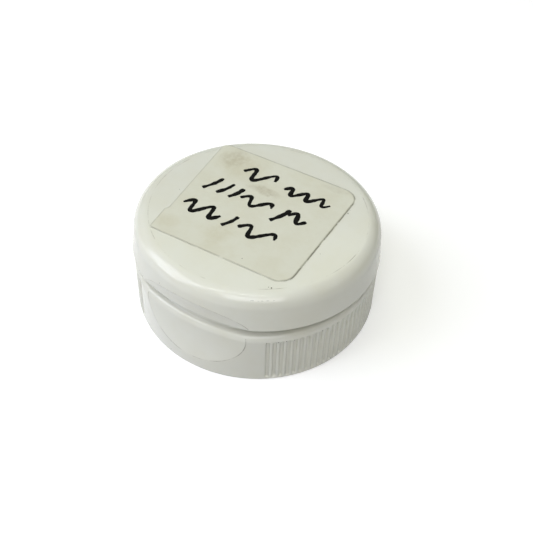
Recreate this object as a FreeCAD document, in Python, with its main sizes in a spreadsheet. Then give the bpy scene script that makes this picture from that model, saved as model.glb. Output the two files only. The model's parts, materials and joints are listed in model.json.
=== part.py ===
"""Flip top dispensing cap for a 38 mm screw neck.

One polypropylene moulding in the real thing: a screw-on base with fluted grip, a lid that
swings on a film hinge at the back, and a thumb recess across both at the front. A size
sticker lies on the lid. Millimetres, +Z up, origin at the centre of the base's open mouth,
thumb recess towards -Y, hinge towards +Y.
"""

import FreeCAD, Part
import math
import os

import Sketcher
from FreeCAD import Placement, Rotation, Vector

# ------------------------------------------------------------------ driving sizes
SIZES = [
    # base: screw-on skirt, deck and spout
    ("bore_radius", 18.9, "inside radius of the skirt, over the neck's thread"),
    ("skirt_wall", 2.1, "wall of the skirt at its open mouth"),
    ("skirt_draft", 0.32, "how far the skirt leans in from its mouth to its shoulder"),
    ("shoulder_height", 10.15, "height of the shoulder that the lid closes on"),
    ("shoulder_bevel", 0.65, "bevel that breaks the shoulder edge"),
    ("mouth_relief", 0.3, "how much wider the bore is at its mouth"),
    ("mouth_length", 1.2, "length of that wider stretch"),
    ("neck_slope_width", 1.2, "slope between bore and deck, measured across"),
    ("neck_slope_height", 1.4, "slope between bore and deck, measured upwards"),
    ("collar_clearance", 0.4, "gap all round between the raised deck and the lid"),
    ("collar_rise", 1.25, "how far the deck stands above the shoulder"),
    ("collar_bevel", 0.3, "bevel of the raised deck's edge"),
    ("deck_thickness", 1.3, "thickness of the deck"),
    ("seal_inset", 2.3, "distance from the bore to the bead that presses on the neck's rim"),
    ("seal_bead", 0.45, "height of that bead"),
    ("orifice_radius", 3.2, "radius of the dispensing hole"),
    ("spout_wall", 1.0, "wall of the spout at its tip"),
    ("spout_taper", 0.6, "how much thicker the spout is at the deck"),
    ("spout_rise", 1.8, "height of the spout above the deck"),
    # internal thread: one start, right-handed, interrupted so that it strips off its core
    ("thread_pitch", 4.233, "rise of the thread in one turn"),
    ("thread_segments", 6, "number of bead segments"),
    ("thread_spacing", 72.0, "angle from segment to segment, degrees"),
    ("thread_segment_angle", 60.0, "angle that one segment covers, degrees"),
    ("thread_entry_angle", 40.0, "where round the bore the first segment starts, degrees"),
    ("thread_start", 1.6, "height of the first segment's underside where it starts"),
    ("thread_depth", 1.05, "depth of the thread"),
    ("thread_root_width", 1.9, "width of the bead at the wall"),
    ("thread_crest_width", 1.1, "width of the bead at its crest"),
    ("thread_sink", 0.3, "overlap of the bead with the wall and with the crest's trim"),
    # flutes round the skirt
    ("flute_depth", 0.34, "depth of a flute"),
    ("flute_width", 0.74, "width of a flute where it opens in the wall"),
    ("flute_floor", 0.16, "width of a flute's flat floor"),
    ("flute_land", 1.15, "plain wall between the flutes' ends and the shoulder"),
    ("flute_pitch", 3.0, "angle from flute to flute, degrees"),
    ("flute_start", 35.6, "angle of the first flute from the front, degrees"),
    ("hinge_land", 16.0, "plain wall each side of the hinge, degrees"),
    # lid
    ("lid_overhang", 0.12, "how far the lid's lower edge stands outside the shoulder"),
    ("lid_gap", 0.1, "gap between shoulder and closed lid"),
    ("lid_rise", 6.11, "height of the lid over its lower edge"),
    ("lid_lean", 0.8, "how far the lid's wall leans in over its height"),
    ("lid_round", 2.4, "rounding of the lid's top rim"),
    ("lid_wall", 1.6, "wall of the lid at its lower edge"),
    ("lid_inner_lean", 0.5, "how far the inside of the wall leans in"),
    ("lid_inner_bevel", 0.9, "bevel inside the lid"),
    ("lid_top", 1.4, "thickness of the lid's top"),
    ("plug_clearance", 0.2, "gap between the plug's root and the dispensing hole"),
    ("plug_taper", 0.35, "how much thinner the plug is at its tip"),
    ("plug_wall", 0.9, "wall of the hollow plug"),
    ("plug_reach", 1.7, "how far the closed plug enters the spout"),
    ("ajar_angle", 2.7, "how far the lid stands open at rest, degrees"),
    # thumb recess across both pieces
    ("recess_depth", 0.9, "depth of the thumb recess at the parting line"),
    ("recess_plan_radius", 32.0, "curve of the recess seen from above"),
    ("recess_lid_radius", 8.3, "upright curve of the recess in the lid"),
    ("recess_base_radius", 30.0, "upright curve of the recess in the base"),
    # film hinge at the back
    ("hinge_width", 11.0, "width of the hinge"),
    ("pad_depth", 1.65, "depth of a hinge pad, from its face to its root in the wall"),
    ("pad_height", 1.6, "straight height of a hinge pad"),
    ("pad_slope", 1.1, "sloping height where a pad runs out into the wall"),
    ("film_radius", 0.5, "outside radius of the folded hinge film"),
    ("film_thickness", 0.26, "thickness of the hinge film"),
    ("film_clearance", 0.03, "running gap between the film and the lid's pad"),
    # sticker
    ("label_width", 24.9, "width of the sticker, left to right"),
    ("label_depth", 26.1, "depth of the sticker, front to back"),
    ("label_shift_across", -0.55, "sticker's centre to the right of the axis"),
    ("label_shift_back", -0.05, "sticker's centre behind the axis"),
    ("label_turn", 1.5, "how far the sticker is turned, degrees"),
    ("label_thickness", 0.12, "thickness of the sticker"),
    ("label_corner_back_right", 2.9, "corner radius"),
    ("label_corner_back_left", 0.5, "corner radius of the corner that laps over the rim"),
    ("label_corner_front_left", 1.3, "corner radius"),
    ("label_corner_front_right", 3.7, "corner radius"),
    ("label_lap", 50.0, "how far the sticker's skin follows the rim rounding, degrees"),
    # how far cutting shapes reach past what they cut
    ("cut_margin", 2.0, "reach of a cutting shape beyond the wall"),
]

doc = FreeCAD.newDocument("FlipTopCap")
sheet = doc.addObject("Spreadsheet::Sheet", "Sizes")
for row, (alias, value, meaning) in enumerate(SIZES, start=1):
    sheet.set(f"A{row}", meaning)
    sheet.set(f"B{row}", str(value))
    sheet.setAlias(f"B{row}", alias)
doc.recompute()

# lengths that several sketches share, written in terms of the sheet
MOUTH_RADIUS = "(Sizes.bore_radius + Sizes.skirt_wall)"
SHOULDER_RADIUS = f"({MOUTH_RADIUS} - Sizes.skirt_draft)"
DECK_TOP = "(Sizes.shoulder_height + Sizes.collar_rise)"
DECK_UNDER = f"({DECK_TOP} - Sizes.deck_thickness)"
BORE_TOP = f"({DECK_UNDER} - Sizes.neck_slope_height)"
SPOUT_TOP = f"({DECK_TOP} + Sizes.spout_rise)"
SPOUT_TIP_RADIUS = "(Sizes.orifice_radius + Sizes.spout_wall)"
FLUTE_TOP = "(Sizes.shoulder_height - Sizes.flute_land)"
CREST_RADIUS = "(Sizes.bore_radius - Sizes.thread_depth)"
LID_RADIUS = f"({SHOULDER_RADIUS} + Sizes.lid_overhang)"
CROWN_RADIUS = f"({LID_RADIUS} - Sizes.lid_lean)"
LID_INSIDE = f"({LID_RADIUS} - Sizes.lid_wall)"
CROWN_INSIDE = f"({LID_INSIDE} - Sizes.lid_inner_lean)"
COLLAR_RADIUS = f"({LID_INSIDE} - Sizes.collar_clearance)"
PLUG_RADIUS = "(Sizes.orifice_radius - Sizes.plug_clearance)"
LID_EDGE = "(Sizes.shoulder_height + Sizes.lid_gap)"
LID_HEIGHT = f"({LID_EDGE} + Sizes.lid_rise)"
LID_UNDER = f"({LID_HEIGHT} - Sizes.lid_top)"
PARTING = "(Sizes.shoulder_height + Sizes.lid_gap / 2)"
RECESS_FLOOR = f"({LID_RADIUS} - Sizes.recess_depth)"
RECESS_AXIS = f"(Sizes.recess_plan_radius - {RECESS_FLOOR})"
# the hinge pads stand as far out as the skirt's mouth
PAD_FACE = MOUTH_RADIUS
PAD_ROOT = f"({PAD_FACE} - Sizes.pad_depth)"
HINGE_LINE = f"({PAD_FACE} + Sizes.film_radius / 2)"
CLEAR_OF_WALL = f"({MOUTH_RADIUS} + Sizes.cut_margin)"
# the lid wall leans in; its rim rounding touches the flat top at FLAT_RADIUS
WALL_LEAN = "(Sizes.lid_lean / Sizes.lid_rise)"
FLAT_RADIUS = (f"({CROWN_RADIUS} + {WALL_LEAN} * Sizes.lid_round"
               f" - Sizes.lid_round * sqrt(1 + {WALL_LEAN} * {WALL_LEAN}))")

# lengths in mm and volumes in mm3 that differ by less than this are taken as equal
CLOSE = 0.02


def size(expression):
    """Value of a sheet expression in mm or degrees."""
    value = sheet.evalExpression(expression)
    return float(getattr(value, "Value", value))


# ------------------------------------------------------------------ sketch helpers
def origin_feature(body, role):
    """The body's own origin plane or axis with this role."""
    return next(f for f in body.Origin.OriginFeatures if f.Role == role)


def new_body(label):
    body = doc.addObject("PartDesign::Body", label)
    body.Label = label
    return body


def sketch_on(body, role, name):
    sketch = body.newObject("Sketcher::SketchObject", name)
    sketch.AttachmentSupport = (origin_feature(body, role), [""])
    sketch.MapMode = "FlatFace"
    return sketch


def bind(sketch, constraint, expression):
    """Adds a dimension and ties it to the sheet."""
    index = sketch.addConstraint(constraint)
    sketch.setExpression(f"Constraints[{index}]", expression)


def pin_point(sketch, edge, end, across, up):
    """Fixes one end of an edge at two sheet expressions."""
    bind(sketch, Sketcher.Constraint("DistanceX", edge, end, size(across)), across)
    bind(sketch, Sketcher.Constraint("DistanceY", edge, end, size(up)), up)


def outline(sketch, corners):
    """Closed outline of straight lines through corners given as sheet expressions."""
    places = [Vector(size(across), size(up), 0) for across, up in corners]
    edges = []
    for here, there in zip(places, places[1:] + places[:1]):
        edges.append(sketch.addGeometry(Part.LineSegment(here, there), False))
    for number, edge in enumerate(edges):
        following = edges[(number + 1) % len(edges)]
        sketch.addConstraint(Sketcher.Constraint("Coincident", edge, 2, following, 1))
        pin_point(sketch, edge, 1, *corners[number])


def rounded_outline(sketch, corners):
    """Closed outline, anticlockwise from back right, of (across, up, radius, side, way)."""
    arcs = []
    for number, (across, up, radius, side, way) in enumerate(corners):
        middle = (f"{across} - {side} * {radius}", f"{up} - {way} * {radius}")
        centre = Vector(size(middle[0]), size(middle[1]), 0)
        circle = Part.Circle(centre, Vector(0, 0, 1), size(radius))
        start = number * math.pi / 2
        arc = sketch.addGeometry(Part.ArcOfCircle(circle, start, start + math.pi / 2), False)
        bind(sketch, Sketcher.Constraint("Radius", arc, size(radius)), radius)
        pin_point(sketch, arc, 3, *middle)
        arcs.append(arc)
    for number, arc in enumerate(arcs):
        following = arcs[(number + 1) % len(arcs)]
        here = sketch.getPoint(arc, 2)
        there = sketch.getPoint(following, 1)
        side = sketch.addGeometry(Part.LineSegment(here, there), False)
        sketch.addConstraint(Sketcher.Constraint("Tangent", arc, 2, side, 1))
        sketch.addConstraint(Sketcher.Constraint("Tangent", side, 2, following, 1))


def turn(body, kind, sketch, name, axis="V_Axis"):
    """Revolves a sketch all the way round, as a Revolution or a Groove."""
    feature = body.newObject(f"PartDesign::{kind}", name)
    feature.Profile = sketch
    feature.ReferenceAxis = (sketch, [axis])
    feature.Angle = 360.0
    body.Tip = feature
    return feature


def turned(body, kind, name, corners):
    """Revolves a straight-sided section about the cap's axis."""
    sketch = sketch_on(body, "XZ_Plane", f"{name}_section")
    outline(sketch, corners)
    return turn(body, kind, sketch, name)


def level_edges(body, height, inner, outer):
    """Names of the edges that lie at one height, between two distances from the axis."""
    names = []
    for number, edge in enumerate(body.Tip.Shape.Edges, start=1):
        middle = edge.valueAt((edge.FirstParameter + edge.LastParameter) / 2)
        heights = [middle.z] + [vertex.Z for vertex in edge.Vertexes]
        level = max(abs(z - height) for z in heights) < CLOSE
        if level and inner < math.hypot(middle.x, middle.y) < outer:
            names.append(f"Edge{number}")
    return names


def dress_edges(body, kind, name, edge_names, width):
    """Puts a Fillet or a Chamfer of a sheet's size on edges of the body's last feature."""
    base = body.Tip
    feature = body.newObject(f"PartDesign::{kind}", name)
    feature.Base = (base, edge_names)
    width_name = "Radius" if kind == "Fillet" else "Size"
    setattr(feature, width_name, size(width))
    feature.setExpression(width_name, width)
    body.Tip = feature
    doc.recompute()


def check_cut(body, feature, before):
    """Stops if a cut took nothing away."""
    doc.recompute()
    if feature.Shape.Volume > before - CLOSE:
        raise RuntimeError(f"{body.Label}: {feature.Label} removed nothing")


# ------------------------------------------------------------------ shared features
def thumb_recess(body, name, edge_height, curve, upwards):
    """Shaves the front of the wall with a dish turned about an axis behind the centre.

    The dish is deepest at the piece's edge at the parting line and runs out into the wall.
    """
    sketch = sketch_on(body, "YZ_Plane", f"{name}_section")
    sketch.AttachmentOffset = Placement(Vector(size(RECESS_AXIS), 0, 0), Rotation())
    sketch.setExpression("AttachmentOffset.Base.x", RECESS_AXIS)
    way = 1 if upwards else -1
    outside = f"(Sizes.recess_plan_radius + {CLEAR_OF_WALL} - {RECESS_FLOOR})"
    rise = f"sqrt({curve}^2 - ({curve} + Sizes.recess_plan_radius - {outside})^2)"
    reach, side = size("Sizes.recess_plan_radius"), size(outside)
    height, past = size(edge_height), size(f"{edge_height} - {way} * Sizes.cut_margin")
    bend = size(curve)
    circle = Part.Circle(Vector(-reach - bend, height, 0), Vector(0, 0, 1), bend)
    lean = math.asin(size(rise) / bend)
    first, last = (0, lean) if upwards else (-lean, 0)
    arc = sketch.addGeometry(Part.ArcOfCircle(circle, first, last), False)
    at_floor, at_run_out = (1, 2) if upwards else (2, 1)
    corners = [Vector(-reach, height, 0), Vector(-reach, past, 0), Vector(-side, past, 0),
               Vector(-side, height + way * size(rise), 0)]
    lines = [sketch.addGeometry(Part.LineSegment(a, b), False)
             for a, b in zip(corners, corners[1:])]
    sketch.addConstraint(Sketcher.Constraint("Coincident", arc, at_floor, lines[0], 1))
    sketch.addConstraint(Sketcher.Constraint("Coincident", lines[0], 2, lines[1], 1))
    sketch.addConstraint(Sketcher.Constraint("Coincident", lines[1], 2, lines[2], 1))
    sketch.addConstraint(Sketcher.Constraint("Coincident", lines[2], 2, arc, at_run_out))
    sketch.addConstraint(Sketcher.Constraint("Vertical", lines[0]))
    sketch.addConstraint(Sketcher.Constraint("Horizontal", lines[1]))
    sketch.addConstraint(Sketcher.Constraint("Vertical", lines[2]))
    bind(sketch, Sketcher.Constraint("DistanceY", lines[0], 2, past),
         f"{edge_height} - {way} * Sizes.cut_margin")
    bind(sketch, Sketcher.Constraint("Radius", arc, bend), curve)
    pin_point(sketch, arc, 3, f"-(Sizes.recess_plan_radius + {curve})", edge_height)
    bind(sketch, Sketcher.Constraint("DistanceY", arc, at_floor, height), edge_height)
    bind(sketch, Sketcher.Constraint("DistanceX", arc, at_run_out, -side), f"-{outside}")
    before = body.Tip.Shape.Volume
    groove = turn(body, "Groove", sketch, name)
    check_cut(body, groove, before)


def hinge_pad(body, name, edge_height, way):
    """Flat-faced boss at the back that the hinge film joins, running out into the wall."""
    sketch = sketch_on(body, "YZ_Plane", f"{name}_section")
    straight = f"{edge_height} + {way} * Sizes.pad_height"
    end = f"{straight} + {way} * Sizes.pad_slope"
    outline(sketch, [
        (PAD_ROOT, edge_height),
        (PAD_FACE, edge_height),
        (PAD_FACE, straight),
        (PAD_ROOT, end),
    ])
    pad = body.newObject("PartDesign::Pad", name)
    pad.Profile = sketch
    pad.Midplane = True
    pad.Length = size("Sizes.hinge_width")
    pad.setExpression("Length", "Sizes.hinge_width")
    body.Tip = pad
    doc.recompute()


def set_ajar(body):
    """Swings a piece of the lid about the hinge line to its resting angle."""
    body.Placement = Placement(Vector(), Rotation(Vector(-1, 0, 0), size("Sizes.ajar_angle")))
    swing = "Sizes.ajar_angle * 1 deg"
    body.setExpression("Placement.Rotation.Angle", "Sizes.ajar_angle")
    body.setExpression(
        "Placement.Base.y", f"{HINGE_LINE} * (1 - cos({swing})) - {PARTING} * sin({swing})")
    body.setExpression(
        "Placement.Base.z", f"{PARTING} * (1 - cos({swing})) + {HINGE_LINE} * sin({swing})")


# ------------------------------------------------------------------ base
def make_base():
    """Screw-on base: skirt, shoulder, raised deck, spout, hinge pad and flutes."""
    body = new_body("closure_base")
    bead_inside = "(Sizes.bore_radius - Sizes.seal_inset - Sizes.seal_bead)"
    bead_outside = "(Sizes.bore_radius - Sizes.seal_inset + Sizes.seal_bead)"
    mouth_bore = "Sizes.bore_radius + Sizes.mouth_relief"
    turned(body, "Revolution", "skirt_and_deck", [
        (mouth_bore, "0"),
        (MOUTH_RADIUS, "0"),
        (SHOULDER_RADIUS, "Sizes.shoulder_height"),
        (COLLAR_RADIUS, "Sizes.shoulder_height"),
        (COLLAR_RADIUS, f"{DECK_TOP} - Sizes.collar_bevel"),
        (f"{COLLAR_RADIUS} - Sizes.collar_bevel", DECK_TOP),
        (f"{SPOUT_TIP_RADIUS} + Sizes.spout_taper", DECK_TOP),
        (SPOUT_TIP_RADIUS, SPOUT_TOP),
        ("Sizes.orifice_radius", SPOUT_TOP),
        ("Sizes.orifice_radius", DECK_UNDER),
        (bead_inside, DECK_UNDER),
        ("Sizes.bore_radius - Sizes.seal_inset", f"{DECK_UNDER} - Sizes.seal_bead"),
        (bead_outside, DECK_UNDER),
        ("Sizes.bore_radius - Sizes.neck_slope_width", DECK_UNDER),
        ("Sizes.bore_radius", BORE_TOP),
        ("Sizes.bore_radius", "Sizes.mouth_length"),
        (mouth_bore, "Sizes.mouth_length"),
    ])
    doc.recompute()
    thumb_recess(body, "thumb_recess", "Sizes.shoulder_height", "Sizes.recess_base_radius", False)
    outer_edges = level_edges(body, size("Sizes.shoulder_height"),
                              size(COLLAR_RADIUS) + CLOSE, size(MOUTH_RADIUS))
    dress_edges(body, "Chamfer", "shoulder_bevel", outer_edges, "Sizes.shoulder_bevel")
    hinge_pad(body, "hinge_pad", "Sizes.shoulder_height", -1)
    neck_thread(body)
    for side in (1, -1):
        flutes(body, side)
    return body


def neck_thread(body):
    """Bead segments that wind up the bore, trimmed to a true cylinder over their crests."""
    middle = "(Sizes.thread_start + Sizes.thread_root_width / 2)"
    sunk = "(Sizes.bore_radius + Sizes.thread_sink)"
    beyond = f"({CREST_RADIUS} - Sizes.thread_sink)"
    for number in range(int(size("Sizes.thread_segments"))):
        sketch = sketch_on(body, "XZ_Plane", f"thread_section_{number + 1}")
        angle = f"Sizes.thread_entry_angle + {number} * Sizes.thread_spacing"
        climb = f"Sizes.thread_pitch * {number} * Sizes.thread_spacing / 360"
        sketch.AttachmentOffset = Placement(
            Vector(0, size(climb), 0), Rotation(Vector(0, 1, 0), size(angle)))
        sketch.setExpression("AttachmentOffset.Base.y", climb)
        sketch.setExpression("AttachmentOffset.Rotation.Angle", angle)
        outline(sketch, [
            (sunk, f"{middle} - Sizes.thread_root_width / 2"),
            (sunk, f"{middle} + Sizes.thread_root_width / 2"),
            ("Sizes.bore_radius", f"{middle} + Sizes.thread_root_width / 2"),
            (beyond, f"{middle} + Sizes.thread_crest_width / 2"),
            (beyond, f"{middle} - Sizes.thread_crest_width / 2"),
            ("Sizes.bore_radius", f"{middle} - Sizes.thread_root_width / 2"),
        ])
        bead = body.newObject("PartDesign::AdditiveHelix", f"thread_segment_{number + 1}")
        bead.Profile = sketch
        bead.ReferenceAxis = (sketch, ["V_Axis"])
        bead.Mode = "pitch-turns-angle"
        bead.Pitch = size("Sizes.thread_pitch")
        bead.setExpression("Pitch", "Sizes.thread_pitch")
        bead.Turns = size("Sizes.thread_segment_angle / 360")
        bead.setExpression("Turns", "Sizes.thread_segment_angle / 360")
        body.Tip = bead
        doc.recompute()
    before = body.Tip.Shape.Volume
    trim = sketch_on(body, "XY_Plane", "thread_crest")
    edge = trim.addGeometry(Part.Circle(Vector(), Vector(0, 0, 1), size(CREST_RADIUS)), False)
    bind(trim, Sketcher.Constraint("Radius", edge, size(CREST_RADIUS)), CREST_RADIUS)
    trim.addConstraint(Sketcher.Constraint("Coincident", edge, 3, -1, 1))
    cut = body.newObject("PartDesign::Pocket", "thread_trim")
    cut.Profile = trim
    cut.Reversed = True
    cut.Length = size(BORE_TOP)
    cut.setExpression("Length", BORE_TOP)
    body.Tip = cut
    check_cut(body, cut, before)


def flutes(body, side):
    """One run of upright flutes, from beside the thumb recess to beside the hinge."""
    name = "right_flute" if side > 0 else "left_flute"
    sketch = sketch_on(body, "XY_Plane", f"{name}_section")
    start = f"{side} * Sizes.flute_start"
    sketch.AttachmentOffset = Placement(Vector(), Rotation(Vector(0, 0, 1), size(start)))
    sketch.setExpression("AttachmentOffset.Rotation.Angle", start)
    # the section widens past the wall, so that the flute opens cleanly
    beyond = f"({MOUTH_RADIUS} + Sizes.flute_depth)"
    floor = f"({MOUTH_RADIUS} - Sizes.flute_depth)"
    wide = "(Sizes.flute_width - Sizes.flute_floor / 2)"
    outline(sketch, [
        ("-Sizes.flute_floor / 2", f"-{floor}"),
        (f"-{wide}", f"-{beyond}"),
        (wide, f"-{beyond}"),
        ("Sizes.flute_floor / 2", f"-{floor}"),
    ])
    before = body.Tip.Shape.Volume
    flute = body.newObject("PartDesign::Pocket", name)
    flute.Profile = sketch
    flute.Reversed = False
    flute.Length = size(FLUTE_TOP)
    flute.setExpression("Length", FLUTE_TOP)
    # the flute leans in with the skirt's draft, so that its depth stays the same
    lean = "(Sizes.skirt_draft / Sizes.shoulder_height)"
    start = "(Sizes.flute_start * 1 deg)"
    flute.UseCustomVector = True
    flute.AlongSketchNormal = True
    flute.Direction = Vector(-side * size(f"{lean} * sin({start})"),
                             size(f"{lean} * cos({start})"), 1)
    flute.setExpression("Direction.x", f"{-side} * {lean} * sin({start})")
    flute.setExpression("Direction.y", f"{lean} * cos({start})")
    body.Tip = flute
    check_cut(body, flute, before)
    run = body.newObject("PartDesign::PolarPattern", f"{name}_run")
    run.Originals = [flute]
    run.Axis = (origin_feature(body, "Z_Axis"), [""])
    run.Reversed = side < 0
    run.Mode = "Spacing"
    run.Offset = size("Sizes.flute_pitch")
    run.setExpression("Offset", "Sizes.flute_pitch")
    span = "(180 - Sizes.flute_start - Sizes.hinge_land)"
    run.setExpression("Occurrences", f"floor({span} / Sizes.flute_pitch) + 1")
    body.Tip = run
    doc.recompute()


# ------------------------------------------------------------------ lid
def make_lid():
    """Lid: shallow cup with a rounded rim, a sealing plug, a hinge pad and the recess."""
    body = new_body("flip_lid")
    turned(body, "Revolution", "lid_cup", [
        (LID_INSIDE, LID_EDGE),
        (LID_RADIUS, LID_EDGE),
        (CROWN_RADIUS, LID_HEIGHT),
        ("0", LID_HEIGHT),
        ("0", LID_UNDER),
        (f"{CROWN_INSIDE} - Sizes.lid_inner_bevel", LID_UNDER),
        (CROWN_INSIDE, f"{LID_UNDER} - Sizes.lid_inner_bevel"),
    ])
    doc.recompute()
    rim = level_edges(body, size(LID_HEIGHT), 0, size(LID_RADIUS))
    dress_edges(body, "Fillet", "rim_rounding", rim, "Sizes.lid_round")
    tip = f"({SPOUT_TOP} - Sizes.plug_reach)"
    tip_radius = f"({PLUG_RADIUS} - Sizes.plug_taper)"
    lead = "(Sizes.plug_wall / 3)"
    turned(body, "Revolution", "sealing_plug", [
        (f"{PLUG_RADIUS} - Sizes.plug_wall", f"{LID_UNDER} + Sizes.lid_top / 2"),
        (f"{PLUG_RADIUS} - Sizes.plug_wall", f"{tip} + {lead}"),
        (f"{tip_radius} - Sizes.plug_wall + {lead}", tip),
        (f"{tip_radius} - {lead}", tip),
        (tip_radius, f"{tip} + {lead}"),
        (PLUG_RADIUS, f"{LID_UNDER} + Sizes.lid_top / 2"),
    ])
    hinge_pad(body, "hinge_pad", LID_EDGE, 1)
    thumb_recess(body, "thumb_recess", LID_EDGE, "Sizes.recess_lid_radius", True)
    set_ajar(body)
    return body


# ------------------------------------------------------------------ film hinge
def make_film():
    """Film of the hinge, folded outwards in a half loop between the two pads."""
    body = new_body("living_hinge")
    sketch = sketch_on(body, "YZ_Plane", "film_section")
    centre = Vector(size(PAD_FACE), size(PARTING), 0)
    inner = "(Sizes.film_radius - Sizes.film_thickness)"
    arcs = []
    for radius in ("Sizes.film_radius", inner):
        circle = Part.Circle(centre, Vector(0, 0, 1), size(radius))
        stop = math.acos(size("Sizes.film_clearance") / size(radius))
        arc = sketch.addGeometry(Part.ArcOfCircle(circle, -math.pi / 2, stop), False)
        bind(sketch, Sketcher.Constraint("Radius", arc, size(radius)), radius)
        pin_point(sketch, arc, 3, PAD_FACE, PARTING)
        bind(sketch, Sketcher.Constraint("DistanceX", arc, 1, centre.x), PAD_FACE)
        clear = f"{PAD_FACE} + Sizes.film_clearance"
        bind(sketch, Sketcher.Constraint("DistanceX", arc, 2, size(clear)), clear)
        arcs.append(arc)
    outer, hollow = arcs
    for end in (1, 2):
        line = Part.LineSegment(sketch.getPoint(outer, end), sketch.getPoint(hollow, end))
        edge = sketch.addGeometry(line, False)
        sketch.addConstraint(Sketcher.Constraint("Coincident", edge, 1, outer, end))
        sketch.addConstraint(Sketcher.Constraint("Coincident", edge, 2, hollow, end))
    film = body.newObject("PartDesign::Pad", "film")
    film.Profile = sketch
    film.Midplane = True
    film.Length = size("Sizes.hinge_width")
    film.setExpression("Length", "Sizes.hinge_width")
    body.Tip = film
    return body


# ------------------------------------------------------------------ sticker
def make_label():
    """Sticker: a skin over the lid's top and rim, trimmed to a rounded square."""
    body = new_body("size_label")
    skin = sketch_on(body, "XZ_Plane", "skin_section")
    flat = size(FLAT_RADIUS)
    height = size(LID_HEIGHT)
    bend = Vector(flat, size(f"{LID_HEIGHT} - Sizes.lid_round"), 0)
    lap = math.radians(size("Sizes.label_lap"))
    outside = "(Sizes.lid_round + Sizes.label_thickness)"
    arcs = []
    for radius in ("Sizes.lid_round", outside):
        circle = Part.Circle(bend, Vector(0, 0, 1), size(radius))
        arc = skin.addGeometry(
            Part.ArcOfCircle(circle, math.pi / 2 - lap, math.pi / 2), False)
        bind(skin, Sketcher.Constraint("Radius", arc, size(radius)), radius)
        pin_point(skin, arc, 3, FLAT_RADIUS, f"{LID_HEIGHT} - Sizes.lid_round")
        bind(skin, Sketcher.Constraint("DistanceX", arc, 2, flat), FLAT_RADIUS)
        arcs.append(arc)
    under, over = arcs
    top = height + size("Sizes.label_thickness")
    middle = [Vector(0, height, 0), Vector(0, top, 0)]
    below = skin.addGeometry(Part.LineSegment(middle[0], Vector(flat, height, 0)), False)
    above = skin.addGeometry(Part.LineSegment(middle[1], Vector(flat, top, 0)), False)
    axis = skin.addGeometry(Part.LineSegment(*middle), False)
    rim = skin.addGeometry(
        Part.LineSegment(skin.getPoint(under, 1), skin.getPoint(over, 1)), False)
    for first, first_end, second, second_end in (
            (below, 2, under, 2), (above, 2, over, 2), (below, 1, axis, 1),
            (above, 1, axis, 2), (rim, 1, under, 1), (rim, 2, over, 1)):
        skin.addConstraint(
            Sketcher.Constraint("Coincident", first, first_end, second, second_end))
    skin.addConstraint(Sketcher.Constraint("Horizontal", below))
    skin.addConstraint(Sketcher.Constraint("Horizontal", above))
    skin.addConstraint(Sketcher.Constraint("PointOnObject", below, 1, -2))
    skin.addConstraint(Sketcher.Constraint("PointOnObject", above, 1, -2))
    lap_edge = f"{FLAT_RADIUS} + Sizes.lid_round * sin(Sizes.label_lap * 1 deg)"
    bind(skin, Sketcher.Constraint("DistanceX", under, 1, size(lap_edge)), lap_edge)
    lap_over = f"{FLAT_RADIUS} + {outside} * sin(Sizes.label_lap * 1 deg)"
    bind(skin, Sketcher.Constraint("DistanceX", over, 1, size(lap_over)), lap_over)
    turn(body, "Revolution", skin, "skin")
    doc.recompute()
    before = body.Tip.Shape.Volume
    trim = sketch_on(body, "XY_Plane", "trim_outline")
    trim.AttachmentOffset = Placement(
        Vector(size("Sizes.label_shift_across"), size("Sizes.label_shift_back"), 0),
        Rotation(Vector(0, 0, 1), size("Sizes.label_turn")))
    trim.setExpression("AttachmentOffset.Base.x", "Sizes.label_shift_across")
    trim.setExpression("AttachmentOffset.Base.y", "Sizes.label_shift_back")
    trim.setExpression("AttachmentOffset.Rotation.Angle", "Sizes.label_turn")
    half_width = "Sizes.label_width / 2"
    half_depth = "Sizes.label_depth / 2"
    rounded_outline(trim, [
        (half_width, half_depth, "Sizes.label_corner_back_right", 1, 1),
        (f"-{half_width}", half_depth, "Sizes.label_corner_back_left", -1, 1),
        (f"-{half_width}", f"-{half_depth}", "Sizes.label_corner_front_left", -1, -1),
        (half_width, f"-{half_depth}", "Sizes.label_corner_front_right", 1, -1),
    ])
    clear = size(CLEAR_OF_WALL)
    waste = trim.addGeometry(Part.Circle(Vector(), Vector(0, 0, 1), clear), False)
    bind(trim, Sketcher.Constraint("Radius", waste, clear), CLEAR_OF_WALL)
    trim.addConstraint(Sketcher.Constraint("Coincident", waste, 3, -1, 1))
    cut = body.newObject("PartDesign::Pocket", "trim")
    cut.Profile = trim
    cut.Type = "ThroughAll"
    cut.Reversed = True
    body.Tip = cut
    check_cut(body, cut, before)
    set_ajar(body)
    return body


# ------------------------------------------------------------------ build and write
pieces = [make_base(), make_lid(), make_film(), make_label()]
doc.recompute()

for item in doc.Objects:
    if "Invalid" in item.State or "Error" in item.State:
        raise RuntimeError(f"{item.Name} did not build: {item.State}")
for piece in pieces:
    if piece.Shape.isNull() or not piece.Shape.isValid():
        raise RuntimeError(f"{piece.Label} has no valid shape")

os.makedirs("parts", exist_ok=True)
for piece in pieces:
    piece.Shape.exportStep(f"parts/{piece.Label}.step")
    print(f"{piece.Label}: {piece.Shape.Volume:.2f} mm3, {len(piece.Shape.Faces)} faces,"
          f" {len(piece.Shape.Solids)} solid")
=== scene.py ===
# %% [markdown]
# # A flip top cap, from bare frame to finished surface
#
# A flip top cap is one small polypropylene moulding: a fluted base that screws on a bottle, and
# a lid that swings on a thin film at the back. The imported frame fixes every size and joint, so
# this lesson only dresses it: fine meshes take the place of the plain solids, and each surface
# gets the finish of a glossy white cap that has been handled and labelled.

# %% Load the frame
import json
import math
import random

import bpy
from mathutils import Matrix, Vector, noise


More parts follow.
